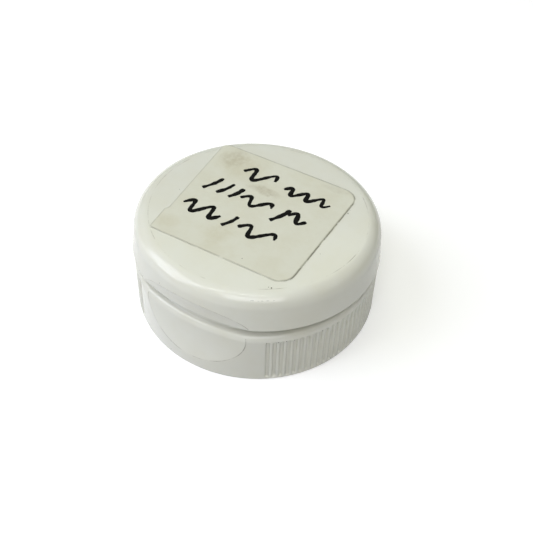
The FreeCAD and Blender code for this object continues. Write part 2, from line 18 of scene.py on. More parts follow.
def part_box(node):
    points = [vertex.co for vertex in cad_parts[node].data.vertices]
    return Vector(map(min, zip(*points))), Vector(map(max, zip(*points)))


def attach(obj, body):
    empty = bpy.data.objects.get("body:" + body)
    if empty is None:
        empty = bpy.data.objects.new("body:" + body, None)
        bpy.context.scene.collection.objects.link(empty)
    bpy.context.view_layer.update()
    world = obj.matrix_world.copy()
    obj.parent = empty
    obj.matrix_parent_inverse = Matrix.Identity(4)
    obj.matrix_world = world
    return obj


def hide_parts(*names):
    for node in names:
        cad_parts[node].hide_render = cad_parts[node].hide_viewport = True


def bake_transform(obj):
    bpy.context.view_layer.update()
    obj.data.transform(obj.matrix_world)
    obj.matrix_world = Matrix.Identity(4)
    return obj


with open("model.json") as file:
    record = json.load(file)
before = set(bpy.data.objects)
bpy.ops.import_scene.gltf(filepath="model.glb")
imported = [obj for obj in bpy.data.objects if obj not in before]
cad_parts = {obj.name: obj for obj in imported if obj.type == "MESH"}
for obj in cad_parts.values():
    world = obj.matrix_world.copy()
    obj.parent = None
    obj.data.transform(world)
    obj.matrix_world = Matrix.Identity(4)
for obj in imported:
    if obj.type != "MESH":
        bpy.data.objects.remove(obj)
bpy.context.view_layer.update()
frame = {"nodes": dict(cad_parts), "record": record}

print("nodes in the frame:", sorted(frame["nodes"]))

# %% [markdown]
# ## Sizes
#
# All shapes below are drawn in millimetres about the cap's axis, and turned into metres at the
# end. What can be read from the frame is read: the outside of the skirt, the hinge line, how far
# the lid stands open and the two bores. The rest repeats the sizes that the part was built with.

# %% Sizes in millimetres
MM = 0.001
base_low, base_high = (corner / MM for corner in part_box("closure_base"))
hinge = frame["record"]["behaviour"]["joints"][0]
mounts = {mount["name"]: mount for mount in frame["record"]["mounts"]}

MOUTH_RADIUS = -base_low.y
SPOUT_TOP = base_high.z
HINGE_Y = hinge["pos_m"][1] / MM
PARTING = hinge["pos_m"][2] / MM
AJAR = -hinge["range_deg"][0]
CREST_RADIUS = mounts["neck_thread"]["dims"]["r_mm"]
MOUTH_BORE = mounts["mouth_bore"]["dims"]["r_mm"]
MOUTH_LENGTH = mounts["mouth_bore"]["dims"]["length_mm"]

LID_GAP = 0.1
SHOULDER = PARTING - LID_GAP / 2
LID_EDGE = PARTING + LID_GAP / 2
SKIRT_DRAFT = 0.32
SHOULDER_ROUND_IN, SHOULDER_ROUND_DOWN = 0.7, 1.1
BORE_RADIUS = 18.9
DECK_TOP = SHOULDER + 1.25
DECK_UNDER = DECK_TOP - 1.3
BORE_TOP = DECK_UNDER - 1.4
COLLAR_RADIUS = 18.8
ORIFICE_RADIUS = 3.2
LID_RADIUS = MOUTH_RADIUS - SKIRT_DRAFT + 0.12
LID_LEAN = 0.8
LID_RISE = 6.11
LID_TOP = LID_EDGE + LID_RISE
LID_ROUND = 2.4
LID_INSIDE = LID_RADIUS - 1.6
LID_UNDER = LID_TOP - 1.4
print(f"skirt {2 * MOUTH_RADIUS:.2f} mm across, closed lid {LID_TOP:.2f} mm high, ajar {AJAR} degrees")

# %% [markdown]
# ## From rings to a closed shell
#
# Almost every surface of a cap is turned, apart from the thumb recess and the hinge pads. So a
# mesh of rings suits it: each ring holds one point per column, and the radius may change with the
# angle. Where two neighbouring rings have different numbers of columns, the gap between them is
# stitched with triangles, which keeps the fine columns to the outside, where the flutes are.


# %% Rings and shells
class Shell:
    """Collects rings of points about the axis, and the faces between them."""

    def __init__(self):
        self.points, self.faces, self.rings = [], [], []

    def ring(self, angles, radius, height, inset=0.0, read_at=None):
        """Adds a ring; angles run from the front round by the right, in radians.

        The radius is a number, or a rule that is read at the ring's height or at another one.
        """
        first = len(self.points)
        level = height if read_at is None else read_at
        for angle in angles:
            reach = radius(angle, level, inset) if callable(radius) else radius
            self.points.append((reach * math.sin(angle), -reach * math.cos(angle), height))
        self.join((first, angles))

    def join(self, new):
        """Joins the last ring to a new one, with quads or by stitching."""
        if self.rings:
            old = self.rings[-1]
            if len(old[1]) == len(new[1]):
                count = len(new[1])
                for i in range(count):
                    j = (i + 1) % count
                    self.faces.append((old[0] + i, old[0] + j, new[0] + j, new[0] + i))
            else:
                self.stitch(old, new)
        self.rings.append(new)

    def stitch(self, old, new):
        """Triangles between two rings of different counts, by whichever column comes next."""
        i = j = 0
        while i < len(old[1]) or j < len(new[1]):
            next_old = old[1][i + 1] if i + 1 < len(old[1]) else old[1][0] + 2 * math.pi
            next_new = new[1][j + 1] if j + 1 < len(new[1]) else new[1][0] + 2 * math.pi
            here_old, here_new = old[0] + i % len(old[1]), new[0] + j % len(new[1])
            if j >= len(new[1]) or (i < len(old[1]) and next_old <= next_new):
                self.faces.append((here_old, old[0] + (i + 1) % len(old[1]), here_new))
                i += 1
            else:
                self.faces.append((here_old, new[0] + (j + 1) % len(new[1]), here_new))
                j += 1

    def cap(self, height, at_end):
        """Closes the shell on the axis, at its last ring or at its first."""
        centre = len(self.points)
        self.points.append((0.0, 0.0, height))
        first, angles = self.rings[-1 if at_end else 0]
        for i in range(len(angles)):
            j = (i + 1) % len(angles)
            pair = (first + i, first + j) if at_end else (first + j, first + i)
            self.faces.append((*pair, centre))

    def close(self):
        """Joins the last ring back to the first, for a shell with a hole through it."""
        self.join(self.rings[0])

    def mesh(self, name):
        mesh = new_mesh(name, self.points, self.faces)
        mesh.validate()
        return mesh


def new_mesh(name, points, faces=(), edges=()):
    mesh = bpy.data.meshes.new(name)
    mesh.from_pydata(points, edges, faces)
    return mesh


def new_object(name, mesh):
    made = bpy.data.objects.new(name, mesh)
    bpy.context.scene.collection.objects.link(made)
    return made


def steps(first, last, count):
    """Evenly spaced values from first to last."""
    return [first + (last - first) * i / count for i in range(count + 1)]


def store(mesh, name, values):
    """Stores a number on every point, for a shader to read."""
    mesh.attributes.new(name, "FLOAT", "POINT").data.foreach_set("value", values)


# %% [markdown]
# ## The thumb recess and the hinge pads
#
# One dish runs across both pieces at the front. It is turned about an upright axis behind the
# centre, so where it cuts the round wall it leaves a lens-shaped outline. At the back each piece
# has a flat pad that the film joins. Both are rules for the radius at an angle and a height, so
# the same ring code can draw them.

# %% Rules for the wall's radius
RECESS_DEPTH, RECESS_PLAN = 0.9, 32.0
RECESS_LID_CURVE, RECESS_BASE_CURVE = 8.3, 30.0
RECESS_AXIS = RECESS_PLAN - (LID_RADIUS - RECESS_DEPTH)
PAD_HALF_WIDTH, PAD_DEPTH, PAD_HEIGHT, PAD_SLOPE = 5.5, 1.65, 1.6, 1.1
PAD_CORNER = math.atan2(PAD_HALF_WIDTH, MOUTH_RADIUS)
PAD_FOOT = math.asin(PAD_HALF_WIDTH / (MOUTH_RADIUS - SKIRT_DRAFT))


def skirt_radius(height):
    return MOUTH_RADIUS - SKIRT_DRAFT * height / SHOULDER


def lid_wall_radius(height):
    return LID_RADIUS - LID_LEAN * (height - LID_EDGE) / LID_RISE


def dish_radius(angle, height, edge, curve):
    """Distance from the cap's axis to the dish of the recess."""
    reach = RECESS_PLAN + curve - math.sqrt(max(curve ** 2 - (height - edge) ** 2, 0.0))
    return math.sqrt(reach ** 2 - (RECESS_AXIS * math.sin(angle)) ** 2) - RECESS_AXIS * math.cos(angle)


def pad_radius(angle, from_edge):
    """Radius of the hinge pad's face, or nothing beside the pad."""
    from_back = abs(math.pi - abs(angle % (2 * math.pi)))
    if from_back > PAD_CORNER + 1e-6:
        return 0.0
    run_out = max(from_edge - PAD_HEIGHT, 0.0) / PAD_SLOPE
    return (MOUTH_RADIUS - PAD_DEPTH * run_out) / math.cos(from_back)


def base_radius(angle, height, inset=0.0):
    wall = min(skirt_radius(height), dish_radius(angle, height, SHOULDER, RECESS_BASE_CURVE))
    return max(wall - inset, pad_radius(angle, SHOULDER - height))


def lid_radius(angle, height, inset=0.0):
    wall = min(lid_wall_radius(height), dish_radius(angle, height, LID_EDGE, RECESS_LID_CURVE))
    return max(wall - inset, pad_radius(angle, height - LID_EDGE))


print(f"recess {lid_wall_radius(LID_EDGE) - lid_radius(0, LID_EDGE):.2f} mm deep at the parting line")

# %% [markdown]
# ## The base
#
# The outside of the skirt needs ten columns for each flute, while the inside is plain. The
# rings climb the wall, roll over the shoulder, cross the hidden ledge, and then follow the deck,
# the spout, the hole, the seal bead and the bore back down to the mouth.

# %% Base shell
FLUTE_START, FLUTE_PITCH, FLUTE_COUNT = 35.6, 3.0, 43
COLUMNS_A_FLUTE, COLUMNS_IN_FRONT, COLUMNS_ON_PAD, COLUMNS_INSIDE = 10, 120, 14, 180
FLUTE_TOP = SHOULDER - 1.15
first_land = math.radians(FLUTE_START - FLUTE_PITCH / 2)
last_land = first_land + math.radians(FLUTE_PITCH * FLUTE_COUNT)


def fine_columns(front_end, front_count, side):
    """Angles of a ring: dense over the recess, then the side given, exact beside the pad."""
    front = steps(-front_end, front_end, front_count)
    right = side + steps(math.pi - PAD_CORNER, math.pi, COLUMNS_ON_PAD)
    return front + right + [2 * math.pi - angle for angle in reversed(right[:-1])]


def even_columns(count):
    return [2 * math.pi * i / count for i in range(count)]


def quarter(count):
    """Angles from nothing to a right angle."""
    return steps(0.0, math.pi / 2, count)


base = Shell()
fluted_side = steps(first_land, last_land, FLUTE_COUNT * COLUMNS_A_FLUTE)[1:]
columns = fine_columns(first_land, COLUMNS_IN_FRONT, fluted_side + [math.pi - PAD_FOOT])
EDGE_ROUND, RING_SPACE = 0.25, 0.7
for turn in quarter(3):
    base.ring(columns, base_radius, EDGE_ROUND * (1 - math.cos(turn)),
              inset=EDGE_ROUND * (1 - math.sin(turn)), read_at=0.0)
shoulder_start = SHOULDER - SHOULDER_ROUND_DOWN
heights = steps(EDGE_ROUND, RING_SPACE, 5)[1:] + steps(RING_SPACE, FLUTE_TOP - RING_SPACE, 24)[1:]
heights += steps(FLUTE_TOP - RING_SPACE, shoulder_start, 7)[1:]
for height in heights:
    base.ring(columns, base_radius, height)
for turn in quarter(12)[1:]:
    base.ring(columns, base_radius, SHOULDER - SHOULDER_ROUND_DOWN * (1 - math.sin(turn)),
              inset=SHOULDER_ROUND_IN * (1 - math.cos(turn)))

BEAD_RADIUS, BEAD_SIZE = BORE_RADIUS - 2.3, 0.45
SPOUT_FOOT, SPOUT_TIP = ORIFICE_RADIUS + 1.6, ORIFICE_RADIUS + 1.0
inside_base = [
    (COLLAR_RADIUS + 0.25, SHOULDER), (COLLAR_RADIUS + 0.07, SHOULDER + 0.07),
    (COLLAR_RADIUS, SHOULDER + 0.25), (COLLAR_RADIUS, DECK_TOP - 0.3),
    (COLLAR_RADIUS - 0.09, DECK_TOP - 0.09), (COLLAR_RADIUS - 0.3, DECK_TOP),
    (COLLAR_RADIUS * 0.7, DECK_TOP), (SPOUT_FOOT + 0.4, DECK_TOP),
    (SPOUT_FOOT + 0.1, DECK_TOP + 0.1), (SPOUT_FOOT - 0.05, DECK_TOP + 0.4),
    (SPOUT_TIP, SPOUT_TOP - 0.25), (SPOUT_TIP - 0.08, SPOUT_TOP - 0.07),
    (SPOUT_TIP - 0.25, SPOUT_TOP), (ORIFICE_RADIUS + 0.25, SPOUT_TOP),
    (ORIFICE_RADIUS + 0.07, SPOUT_TOP - 0.07), (ORIFICE_RADIUS, SPOUT_TOP - 0.25),
    (ORIFICE_RADIUS, DECK_UNDER + 0.15), (ORIFICE_RADIUS + 0.15, DECK_UNDER),
    (BEAD_RADIUS - BEAD_SIZE, DECK_UNDER), (BEAD_RADIUS - 0.12, DECK_UNDER - 0.38),
    (BEAD_RADIUS, DECK_UNDER - BEAD_SIZE), (BEAD_RADIUS + 0.12, DECK_UNDER - 0.38),
    (BEAD_RADIUS + BEAD_SIZE, DECK_UNDER), (BORE_RADIUS - 1.2, DECK_UNDER),
    (BORE_RADIUS, BORE_TOP), (BORE_RADIUS, MOUTH_LENGTH), (MOUTH_BORE, MOUTH_LENGTH),
    (MOUTH_BORE, EDGE_ROUND), (MOUTH_BORE + EDGE_ROUND, 0.0),
]
for radius, height in inside_base:
    base.ring(even_columns(COLUMNS_INSIDE), radius, height)
base.close()
base_mesh = base.mesh("base_shell")
print(f"base shell: {len(columns)} columns, {len(base.rings)} rings, {len(base.faces)} faces")

# %% [markdown]
# ## Flutes by Geometry Nodes
#
# The flutes repeat by a rule, so a node tree presses them into the finished wall: it measures how
# far each point lies from the middle of the nearest flute, and moves it inwards by a smooth
# valley. Done this way, pitch, depth and width stay inputs that can be tried in the modifier.


# %% Helpers for node trees
def new_tree(name, inputs):
    """Geometry tree with a named socket for each size, and its two end nodes."""
    tree = bpy.data.node_groups.new(name, "GeometryNodeTree")
    tree.interface.new_socket("Geometry", in_out="INPUT", socket_type="NodeSocketGeometry")
    for label, value in inputs.items():
        kind = "NodeSocketInt" if isinstance(value, int) else "NodeSocketFloat"
        tree.interface.new_socket(label, in_out="INPUT", socket_type=kind).default_value = value
    tree.interface.new_socket("Geometry", in_out="OUTPUT", socket_type="NodeSocketGeometry")
    return tree, tree.nodes.new("NodeGroupInput"), tree.nodes.new("NodeGroupOutput")


def put(tree, socket, value):
    """Links a socket to another, or sets its value."""
    if isinstance(value, bpy.types.NodeSocket):
        tree.links.new(value, socket)
    else:
        socket.default_value = value


def add(tree, kind, choices={}, **inputs):
    """Adds a node, makes its choices and fills its inputs; a space in a name is written _."""
    node = tree.nodes.new(kind)
    for name, value in choices.items():
        setattr(node, name, value)
    for name, value in inputs.items():
        put(tree, node.inputs[name.replace("_", " ")], value)
    return node


def calc(tree, operation, *values):
    """A Math node's result."""
    node = add(tree, "ShaderNodeMath", {"operation": operation})
    for socket, value in zip(node.inputs, values):
        put(tree, socket, value)
    return node.outputs[0]


def chain(operation):
    """Makes a helper that runs one operation through two or more values in turn."""
    def helper(tree, result, *others):
        for value in others:
            result = calc(tree, operation, result, value)
        return result
    return helper


times, plus, minus = chain("MULTIPLY"), chain("ADD"), chain("SUBTRACT")


def xyz(tree, x=0.0, y=0.0, z=0.0):
    return add(tree, "ShaderNodeCombineXYZ", X=x, Y=y, Z=z).outputs[0]


def ease(tree, value, start, end, low=0.0, high=1.0):
    """Smooth step of a value from start to end."""
    node = add(tree, "ShaderNodeMapRange", {"interpolation_type": "SMOOTHSTEP"}, Value=value,
               From_Min=start, From_Max=end, To_Min=low, To_Max=high)
    return node.outputs["Result"]


def finish_tree(tree, geometry, output, material):
    """Every tree ends the same way: real geometry with its material."""
    real = add(tree, "GeometryNodeRealizeInstances", Geometry=geometry)
    finish = add(tree, "GeometryNodeSetMaterial", Geometry=real.outputs[0], Material=material)
    tree.links.new(finish.outputs[0], output.inputs[0])


def grow(name, tree, settings, start_mesh=None):
    """Runs a tree on an object and keeps the result as a plain mesh."""
    carrier = new_object(f"{name}_carrier", start_mesh or bpy.data.meshes.new(name))
    modifier = carrier.modifiers.new(name, "NODES")
    modifier.node_group = tree
    sockets = {item.name: item.identifier for item in tree.interface.items_tree
               if item.in_out == "INPUT"}
    for label, value in settings.items():
        modifier[sockets[label]] = value
    bpy.context.view_layer.update()
    graph = bpy.context.evaluated_depsgraph_get()
    mesh = bpy.data.meshes.new_from_object(carrier.evaluated_get(graph))
    carrier.modifiers.remove(modifier)
    bpy.data.objects.remove(carrier)
    mesh.name = name
    return mesh


# %% Materials are named first, and finished further down
plastic = bpy.data.materials.new("white_polypropylene")
paper = bpy.data.materials.new("sticker_paper")
ink = bpy.data.materials.new("marker_ink")
dirt = bpy.data.materials.new("packed_dirt")

# %% Press the flutes into the skirt
flute_sizes = {
    "First flute": math.radians(FLUTE_START), "Pitch": math.radians(FLUTE_PITCH),
    "Count": FLUTE_COUNT, "Depth": 0.38, "Floor": 0.18, "Width": 0.38,
    "Top": FLUTE_TOP + 0.12, "Run-out": 0.35, "Foot": 0.3, "Foot run-out": 0.35,
    "Inner limit": MOUTH_BORE + 0.8,
}


def flute_tree():
    tree, start, end = new_tree("press_flutes", flute_sizes)
    size = start.outputs
    place = tree.nodes.new("GeometryNodeInputPosition").outputs[0]
    x, y, z = add(tree, "ShaderNodeSeparateXYZ", Vector=place).outputs
    radius = calc(tree, "SQRT", plus(tree, times(tree, x, x), times(tree, y, y)))
    angle = calc(tree, "ABSOLUTE", calc(tree, "ARCTAN2", x, times(tree, y, -1.0)))
    number = calc(tree, "DIVIDE", minus(tree, angle, size["First flute"]), size["Pitch"])
    nearest = calc(tree, "MAXIMUM", calc(tree, "ROUND", number), 0.0)
    nearest = calc(tree, "MINIMUM", nearest, minus(tree, size["Count"], 1.0))
    across = times(tree, minus(tree, number, nearest), size["Pitch"])
    away = calc(tree, "ABSOLUTE", times(tree, across, radius))
    valley = ease(tree, away, size["Floor"], size["Width"], 1.0, 0.0)
    below_top = ease(tree, z, minus(tree, size["Top"], size["Run-out"]), size["Top"], 1.0, 0.0)
    above_foot = ease(tree, z, size["Foot"], plus(tree, size["Foot"], size["Foot run-out"]))
    outside = calc(tree, "GREATER_THAN", radius, size["Inner limit"])
    cut = times(tree, below_top, above_foot)
    push = times(tree, valley, cut, outside, size["Depth"], -1.0)
    share = calc(tree, "DIVIDE", push, radius)
    offset = xyz(tree, times(tree, x, share), times(tree, y, share))
    moved = add(tree, "GeometryNodeSetPosition", Geometry=size["Geometry"], Offset=offset)
    finish_tree(tree, moved.outputs[0], end, plastic)
    return tree


fluted_mesh = grow("fluted_base", flute_tree(), flute_sizes, base_mesh)
print(f"{2 * FLUTE_COUNT} flutes pressed into {len(fluted_mesh.vertices)} points")

# %% [markdown]
# ## The neck thread
#
# Inside the skirt a bead winds up the bore. It is broken into six segments, as on caps that are
# stripped straight off their core. One segment is a short spiral swept with a trapezoid, and the
# tree copies it round and up the helix as instances before it makes them real.

# %% Thread segments
THREAD_PITCH, THREAD_FOOT, THREAD_ROOT, THREAD_CREST = 4.233, 1.6, 1.9, 1.28
thread_sizes = {
    "Segments": 6, "Spacing": math.radians(72.0), "Sweep": 60.0 / 360.0,
    "Entry": math.radians(40.0), "Pitch": THREAD_PITCH, "Start": THREAD_FOOT + THREAD_ROOT / 2,
    "Bore": BORE_RADIUS, "Crest": CREST_RADIUS,
    "Root width": THREAD_ROOT, "Crest width": THREAD_CREST,
}


def thread_tree():
    tree, start, end = new_tree("wind_thread", thread_sizes)
    size = start.outputs
    middle = times(tree, plus(tree, size["Bore"], size["Crest"]), 0.5)
    rise = times(tree, size["Pitch"], size["Sweep"])
    spiral = add(tree, "GeometryNodeCurveSpiral", Resolution=144, Rotations=size["Sweep"],
                 Start_Radius=middle, End_Radius=middle, Height=rise, Reverse=True)
    upright = add(tree, "GeometryNodeSetCurveNormal", {"mode": "Z_UP"}, Curve=spiral.outputs[0])
    section = add(tree, "GeometryNodeCurvePrimitiveQuadrilateral", {"mode": "TRAPEZOID"},
                  Bottom_Width=size["Root width"], Top_Width=size["Crest width"],
                  Height=minus(tree, size["Bore"], size["Crest"]), Offset=0.0)
    turned = add(tree, "GeometryNodeTransform", Geometry=section.outputs[0],
                 Rotation=(0.0, 0.0, math.pi / 2))
    bead = add(tree, "GeometryNodeCurveToMesh", Curve=upright.outputs[0],
               Profile_Curve=turned.outputs[0], Fill_Caps=True)
    index = tree.nodes.new("GeometryNodeInputIndex").outputs[0]
    turns = times(tree, index, calc(tree, "DIVIDE", size["Spacing"], 2 * math.pi))
    height = plus(tree, size["Start"], times(tree, turns, size["Pitch"]))
    points = add(tree, "GeometryNodePoints", Count=size["Segments"], Position=xyz(tree, z=height))
    angle = plus(tree, size["Entry"], times(tree, index, size["Spacing"]))
    copies = add(tree, "GeometryNodeInstanceOnPoints", Points=points.outputs[0],
                 Instance=bead.outputs[0], Rotation=xyz(tree, z=angle))
    finish_tree(tree, copies.outputs[0], end, plastic)
    return tree


thread_mesh = grow("thread_segments", thread_tree(), thread_sizes)
radii = [point.co.xy.length for point in thread_mesh.vertices]
rise = [point.co.z for point in thread_mesh.vertices]
print(f"thread: radius {min(radii):.2f} to {max(radii):.2f}, height {min(rise):.2f} to {max(rise):.2f}")

# %% [markdown]
# ## The lid
#
# The lid is a shallow cup with a thick rounded rim. It is drawn closed, from the middle of its
# underside out over the hollow plug, down inside the wall, round the lower edge and up over the
# rim, and is swung open to its resting angle at the end.

# %% Lid shell
lean = math.atan2(LID_LEAN, LID_RISE)
CROWN_RADIUS = LID_RADIUS - LID_LEAN
FLAT_RADIUS = CROWN_RADIUS + LID_ROUND * (math.tan(lean) - 1 / math.cos(lean))
LIP_ROUND = 0.15
PLUG_TIP, PLUG_ROOT, PLUG_WALL = 2.65, 2.94, 0.9
RECESS_HALF_ANGLE = math.radians(36)
plug_end = SPOUT_TOP - 1.7
inner_bend = 0.9
crown_inside = LID_INSIDE - 0.5

lid = Shell()
round_columns = even_columns(120)
lid_angles = fine_columns(RECESS_HALF_ANGLE, 144, steps(RECESS_HALF_ANGLE, math.pi - PAD_FOOT, 86)[1:])
underside = [
    (PLUG_TIP - PLUG_WALL, LID_UNDER), (PLUG_ROOT - PLUG_WALL, LID_UNDER - 0.2),
    (PLUG_ROOT - PLUG_WALL, plug_end + 0.3), (PLUG_ROOT - PLUG_WALL - 0.05, plug_end + 0.08),
    (PLUG_TIP - PLUG_WALL + 0.3, plug_end), (PLUG_TIP - 0.3, plug_end),
    (PLUG_TIP - 0.05, plug_end + 0.1), (PLUG_TIP, plug_end + 0.3),
    (PLUG_ROOT, LID_UNDER - 0.2), (PLUG_ROOT + 0.06, LID_UNDER - 0.06), (PLUG_ROOT + 0.2, LID_UNDER),
    (crown_inside * 0.5, LID_UNDER), (crown_inside - inner_bend, LID_UNDER),
]
for radius, height in underside:
    lid.ring(round_columns, radius, height)
for turn in quarter(5)[1:]:
    lid.ring(lid_angles, crown_inside - inner_bend * (1 - math.sin(turn)),
             LID_UNDER - inner_bend * (1 - math.cos(turn)))
lid.ring(lid_angles, LID_INSIDE, LID_EDGE + LIP_ROUND)
lid.ring(lid_angles, LID_INSIDE + LIP_ROUND, LID_EDGE)
for turn in quarter(3):
    lid.ring(lid_angles, lid_radius, LID_EDGE + LIP_ROUND * (1 - math.cos(turn)),
             inset=LIP_ROUND * (1 - math.sin(turn)), read_at=LID_EDGE)
rim_start = LID_TOP - LID_ROUND * (1 - math.sin(lean))
for height in steps(LID_EDGE + LIP_ROUND, rim_start, 24)[1:]:
    lid.ring(lid_angles, lid_radius, height)
for bend in steps(lean, math.pi / 2, 14)[1:]:
    lid.ring(lid_angles, FLAT_RADIUS + LID_ROUND * math.cos(bend),
             LID_TOP - LID_ROUND * (1 - math.sin(bend)))
for radius in (17.6, 17.2, 16.4, 15.0, 12.5, 9.5, 6.5, 3.8, 1.6):
    lid.ring(lid_angles, radius, LID_TOP)
lid.cap(LID_TOP, at_end=True)
lid.cap(LID_UNDER, at_end=False)
lid_mesh = lid.mesh("lid_shell")
lid_mesh.materials.append(plastic)
print(f"lid shell: {len(lid.faces)} faces, flat top to a radius of {FLAT_RADIUS:.2f} mm")

# %% [markdown]
# ## What the shader needs to know about places
#
# A thin dark line is painted along the edge of the thumb recess, and dirt gathers in a line where
# the lid's flat top meets its rounded rim. Each line is stored on the points as a distance in
# millimetres, so the shader can draw it as thin as it likes without any image.

# %% Distances stored on the plastic pieces
FAR = 9.0
CREASE_LIMIT, RECESS_REACH = 0.3, 0.62


def recess_distance(place, wall, edge, curve):
    """How far the dish stands from the plain wall at a place, in millimetres."""
    if abs(place.x) > MOUTH_RADIUS * RECESS_REACH or place.y > 0 or place.xy.length < MOUTH_BORE:
        return FAR
    angle = math.atan2(place.x, -place.y)
    return dish_radius(angle, place.z, edge, curve) - wall(place.z)


def base_crease(place):
    if place.z > SHOULDER - CREASE_LIMIT:
        return FAR
    return recess_distance(place, skirt_radius, SHOULDER, RECESS_BASE_CURVE)


def lid_crease(place):
    if place.z < LID_EDGE + LIP_ROUND or place.z > rim_start:
        return FAR
    return recess_distance(place, lid_wall_radius, LID_EDGE, RECESS_LID_CURVE)


def ring_distance(place):
    return place.xy.length - FLAT_RADIUS if place.z > LID_TOP - CREASE_LIMIT else FAR


def nowhere(place):
    return FAR


def mark_places(mesh, crease=nowhere, ring=nowhere):
    for name, distance in (("crease", crease), ("ring", ring)):
        store(mesh, name, [distance(point.co) for point in mesh.vertices])


mark_places(fluted_mesh, crease=base_crease)
mark_places(lid_mesh, crease=lid_crease, ring=ring_distance)
mark_places(thread_mesh)

# %% [markdown]
# ## The film hinge
#
# The hinge is a film a quarter of a millimetre thick, moulded flat and folded outwards when the
# lid is closed. It is a half loop from pad to pad. The real film bends when the lid swings, so here
# it is tied to neither body and stays as drawn.

# %% Film
FILM_OUTER, FILM_THICK, FILM_WAIST, FILM_MARGIN = 0.5, 0.26, 0.12, 0.02
film_points, film_faces = [], []
widths = steps(-PAD_HALF_WIDTH + FILM_MARGIN, PAD_HALF_WIDTH - FILM_MARGIN, 24)
bends = steps(-math.pi / 2, math.pi / 2, 20)
for radius in (FILM_OUTER, FILM_OUTER - FILM_THICK):
    for bend in bends:
        waist = 1.0 - FILM_WAIST * math.cos(bend)
        thin = (radius - FILM_OUTER) * waist + FILM_OUTER
        back, height = MOUTH_RADIUS + thin * math.cos(bend), PARTING + thin * math.sin(bend)
        film_points += [(across, back, height) for across in widths]
row = len(widths)
layer = row * len(bends)


def film_quad(corner, first, second, keep):
    """A face from a corner along two strides, turned over unless kept."""
    face = (corner, corner + first, corner + first + second, corner + second)
    film_faces.append(face if keep else face[::-1])


for side in (0, 1):
    for i in range(len(bends) - 1):
        for j in range(row - 1):
            film_quad(side * layer + i * row + j, row, 1, keep=side)
for i in range(len(bends) - 1):
    for j in (0, row - 1):
        film_quad(i * row + j, row, layer, keep=j == 0)
for i in (0, len(bends) - 1):
    for j in range(row - 1):
        film_quad(i * row + j, 1, layer, keep=i != 0)
film_mesh = new_mesh("hinge_film", film_points, film_faces)
film_mesh.validate()
film_mesh.materials.append(plastic)
mark_places(film_mesh)
print(f"film: {len(film_faces)} faces, {FILM_THICK} mm thick")

# %% [markdown]
# ## The sticker
#
# A square paper sticker covers most of the lid. Its corners are round by different amounts, its
# left edge is cut askew, and one corner laps over the rim. The mesh is made of outlines nested
# inside each other, so that it can carry a distance from the edge, and every point is dropped onto
# the lid's own surface.

# %% Sticker outline
LABEL_THICK = 0.12
# corners in the lid's own axes, anticlockwise from back right, each with its radius; two of them
# make the nick in the left edge
LABEL_CORNERS = [
    (Vector((12.3, 12.7)), 2.8), (Vector((-14.7, 12.5)), 0.6), (Vector((-12.42, -7.7)), 0.2),
    (Vector((-12.8, -8.4)), 0.3), (Vector((-12.2, -13.2)), 0.5), (Vector((12.15, -12.7)), 2.6),
]
LABEL_STEP = 0.45


def rounded_outline(corners, step):
    """Points round a polygon with rounded corners, each with its direction outwards."""
    outline = []
    neighbours = zip(corners[-1:] + corners[:-1], corners, corners[1:] + corners[:1])
    for (before, _), (corner, radius), (after, _) in neighbours:
        arrive, leave = (corner - before).normalized(), (after - corner).normalized()
        bend = math.atan2(arrive.cross(leave), arrive.dot(leave))
        side = math.copysign(1.0, bend)
        start = corner - arrive * radius * math.tan(abs(bend) / 2)
        out = Vector((arrive.y, -arrive.x))
        centre = start - out * radius * side
        if outline:
            outline += straight(outline[-1][0], start, out, step)
        for share in steps(0.0, 1.0, max(4, round(abs(bend) * radius / step * 2))):
            turned = Matrix.Rotation(bend * share, 2) @ out
            outline.append((centre + turned * radius * side, turned))
    first, out = outline[0]
    return outline + straight(outline[-1][0], first, out, step)


def straight(start, end, out, step):
    """Points between two places, without the places themselves."""
    shares = steps(0.0, 1.0, max(2, round((end - start).length / step)))[1:-1]
    return [(start.lerp(end, share), out) for share in shares]


def lid_surface(across, back):
    """Height of the closed lid's top at a place."""
    over = max(math.hypot(across, back) - FLAT_RADIUS, 0.0)
    return LID_TOP - LID_ROUND + math.sqrt(LID_ROUND ** 2 - min(over, LID_ROUND) ** 2)


def on_lid(place, lift):
    """A place in the lid's axes, put on the lid's surface and lifted by so much."""
    return (place[0], place[1], lid_surface(place[0], place[1]) + lift)


def frayed(point, out, wear=0.09):
    """Worn paper edge: never outside the sticker's outline."""
    rough = noise.noise(Vector((point.x * 1.3, point.y * 1.3, 4.0))) * 0.5 + 0.5
    fine = noise.noise(Vector((point.x * 6.0, point.y * 6.0, 9.0))) * 0.5 + 0.5
    return point - out * wear * (0.7 * rough ** 2 + 0.3 * fine)


# %% Sticker mesh
outline = [(frayed(point, out), out) for point, out in rounded_outline(LABEL_CORNERS, LABEL_STEP)]
count = len(outline)
INSETS = (0.0, 0.05, 0.15, 0.35)
SHRINKS = (0.95, 0.88, 0.78, 0.66, 0.52, 0.36, 0.2, 0.07)
LABEL_MIDDLE = Vector((-0.6, 0.0))
UNDER_LIFT, RIPPLE, PRESSED, PRESSED_REACH = 0.004, 0.012, 0.03, 0.15


def nested(point, out, step):
    """The outline's point, moved in by the step's inset and shrink."""
    if step < len(INSETS):
        return point - out * INSETS[step]
    return (point - out * INSETS[-1]).lerp(LABEL_MIDDLE, 1 - SHRINKS[step - len(INSETS)])


def paper_lift(place, from_edge):
    """Thickness of the paper, with a slightly pressed edge and shallow ripples."""
    ripple = noise.noise(Vector((place.x * 0.35, place.y * 0.35, 1.0)))
    pressed = PRESSED * max(0.0, 1 - from_edge / PRESSED_REACH)
    return LABEL_THICK - pressed - RIPPLE * (1 + ripple)


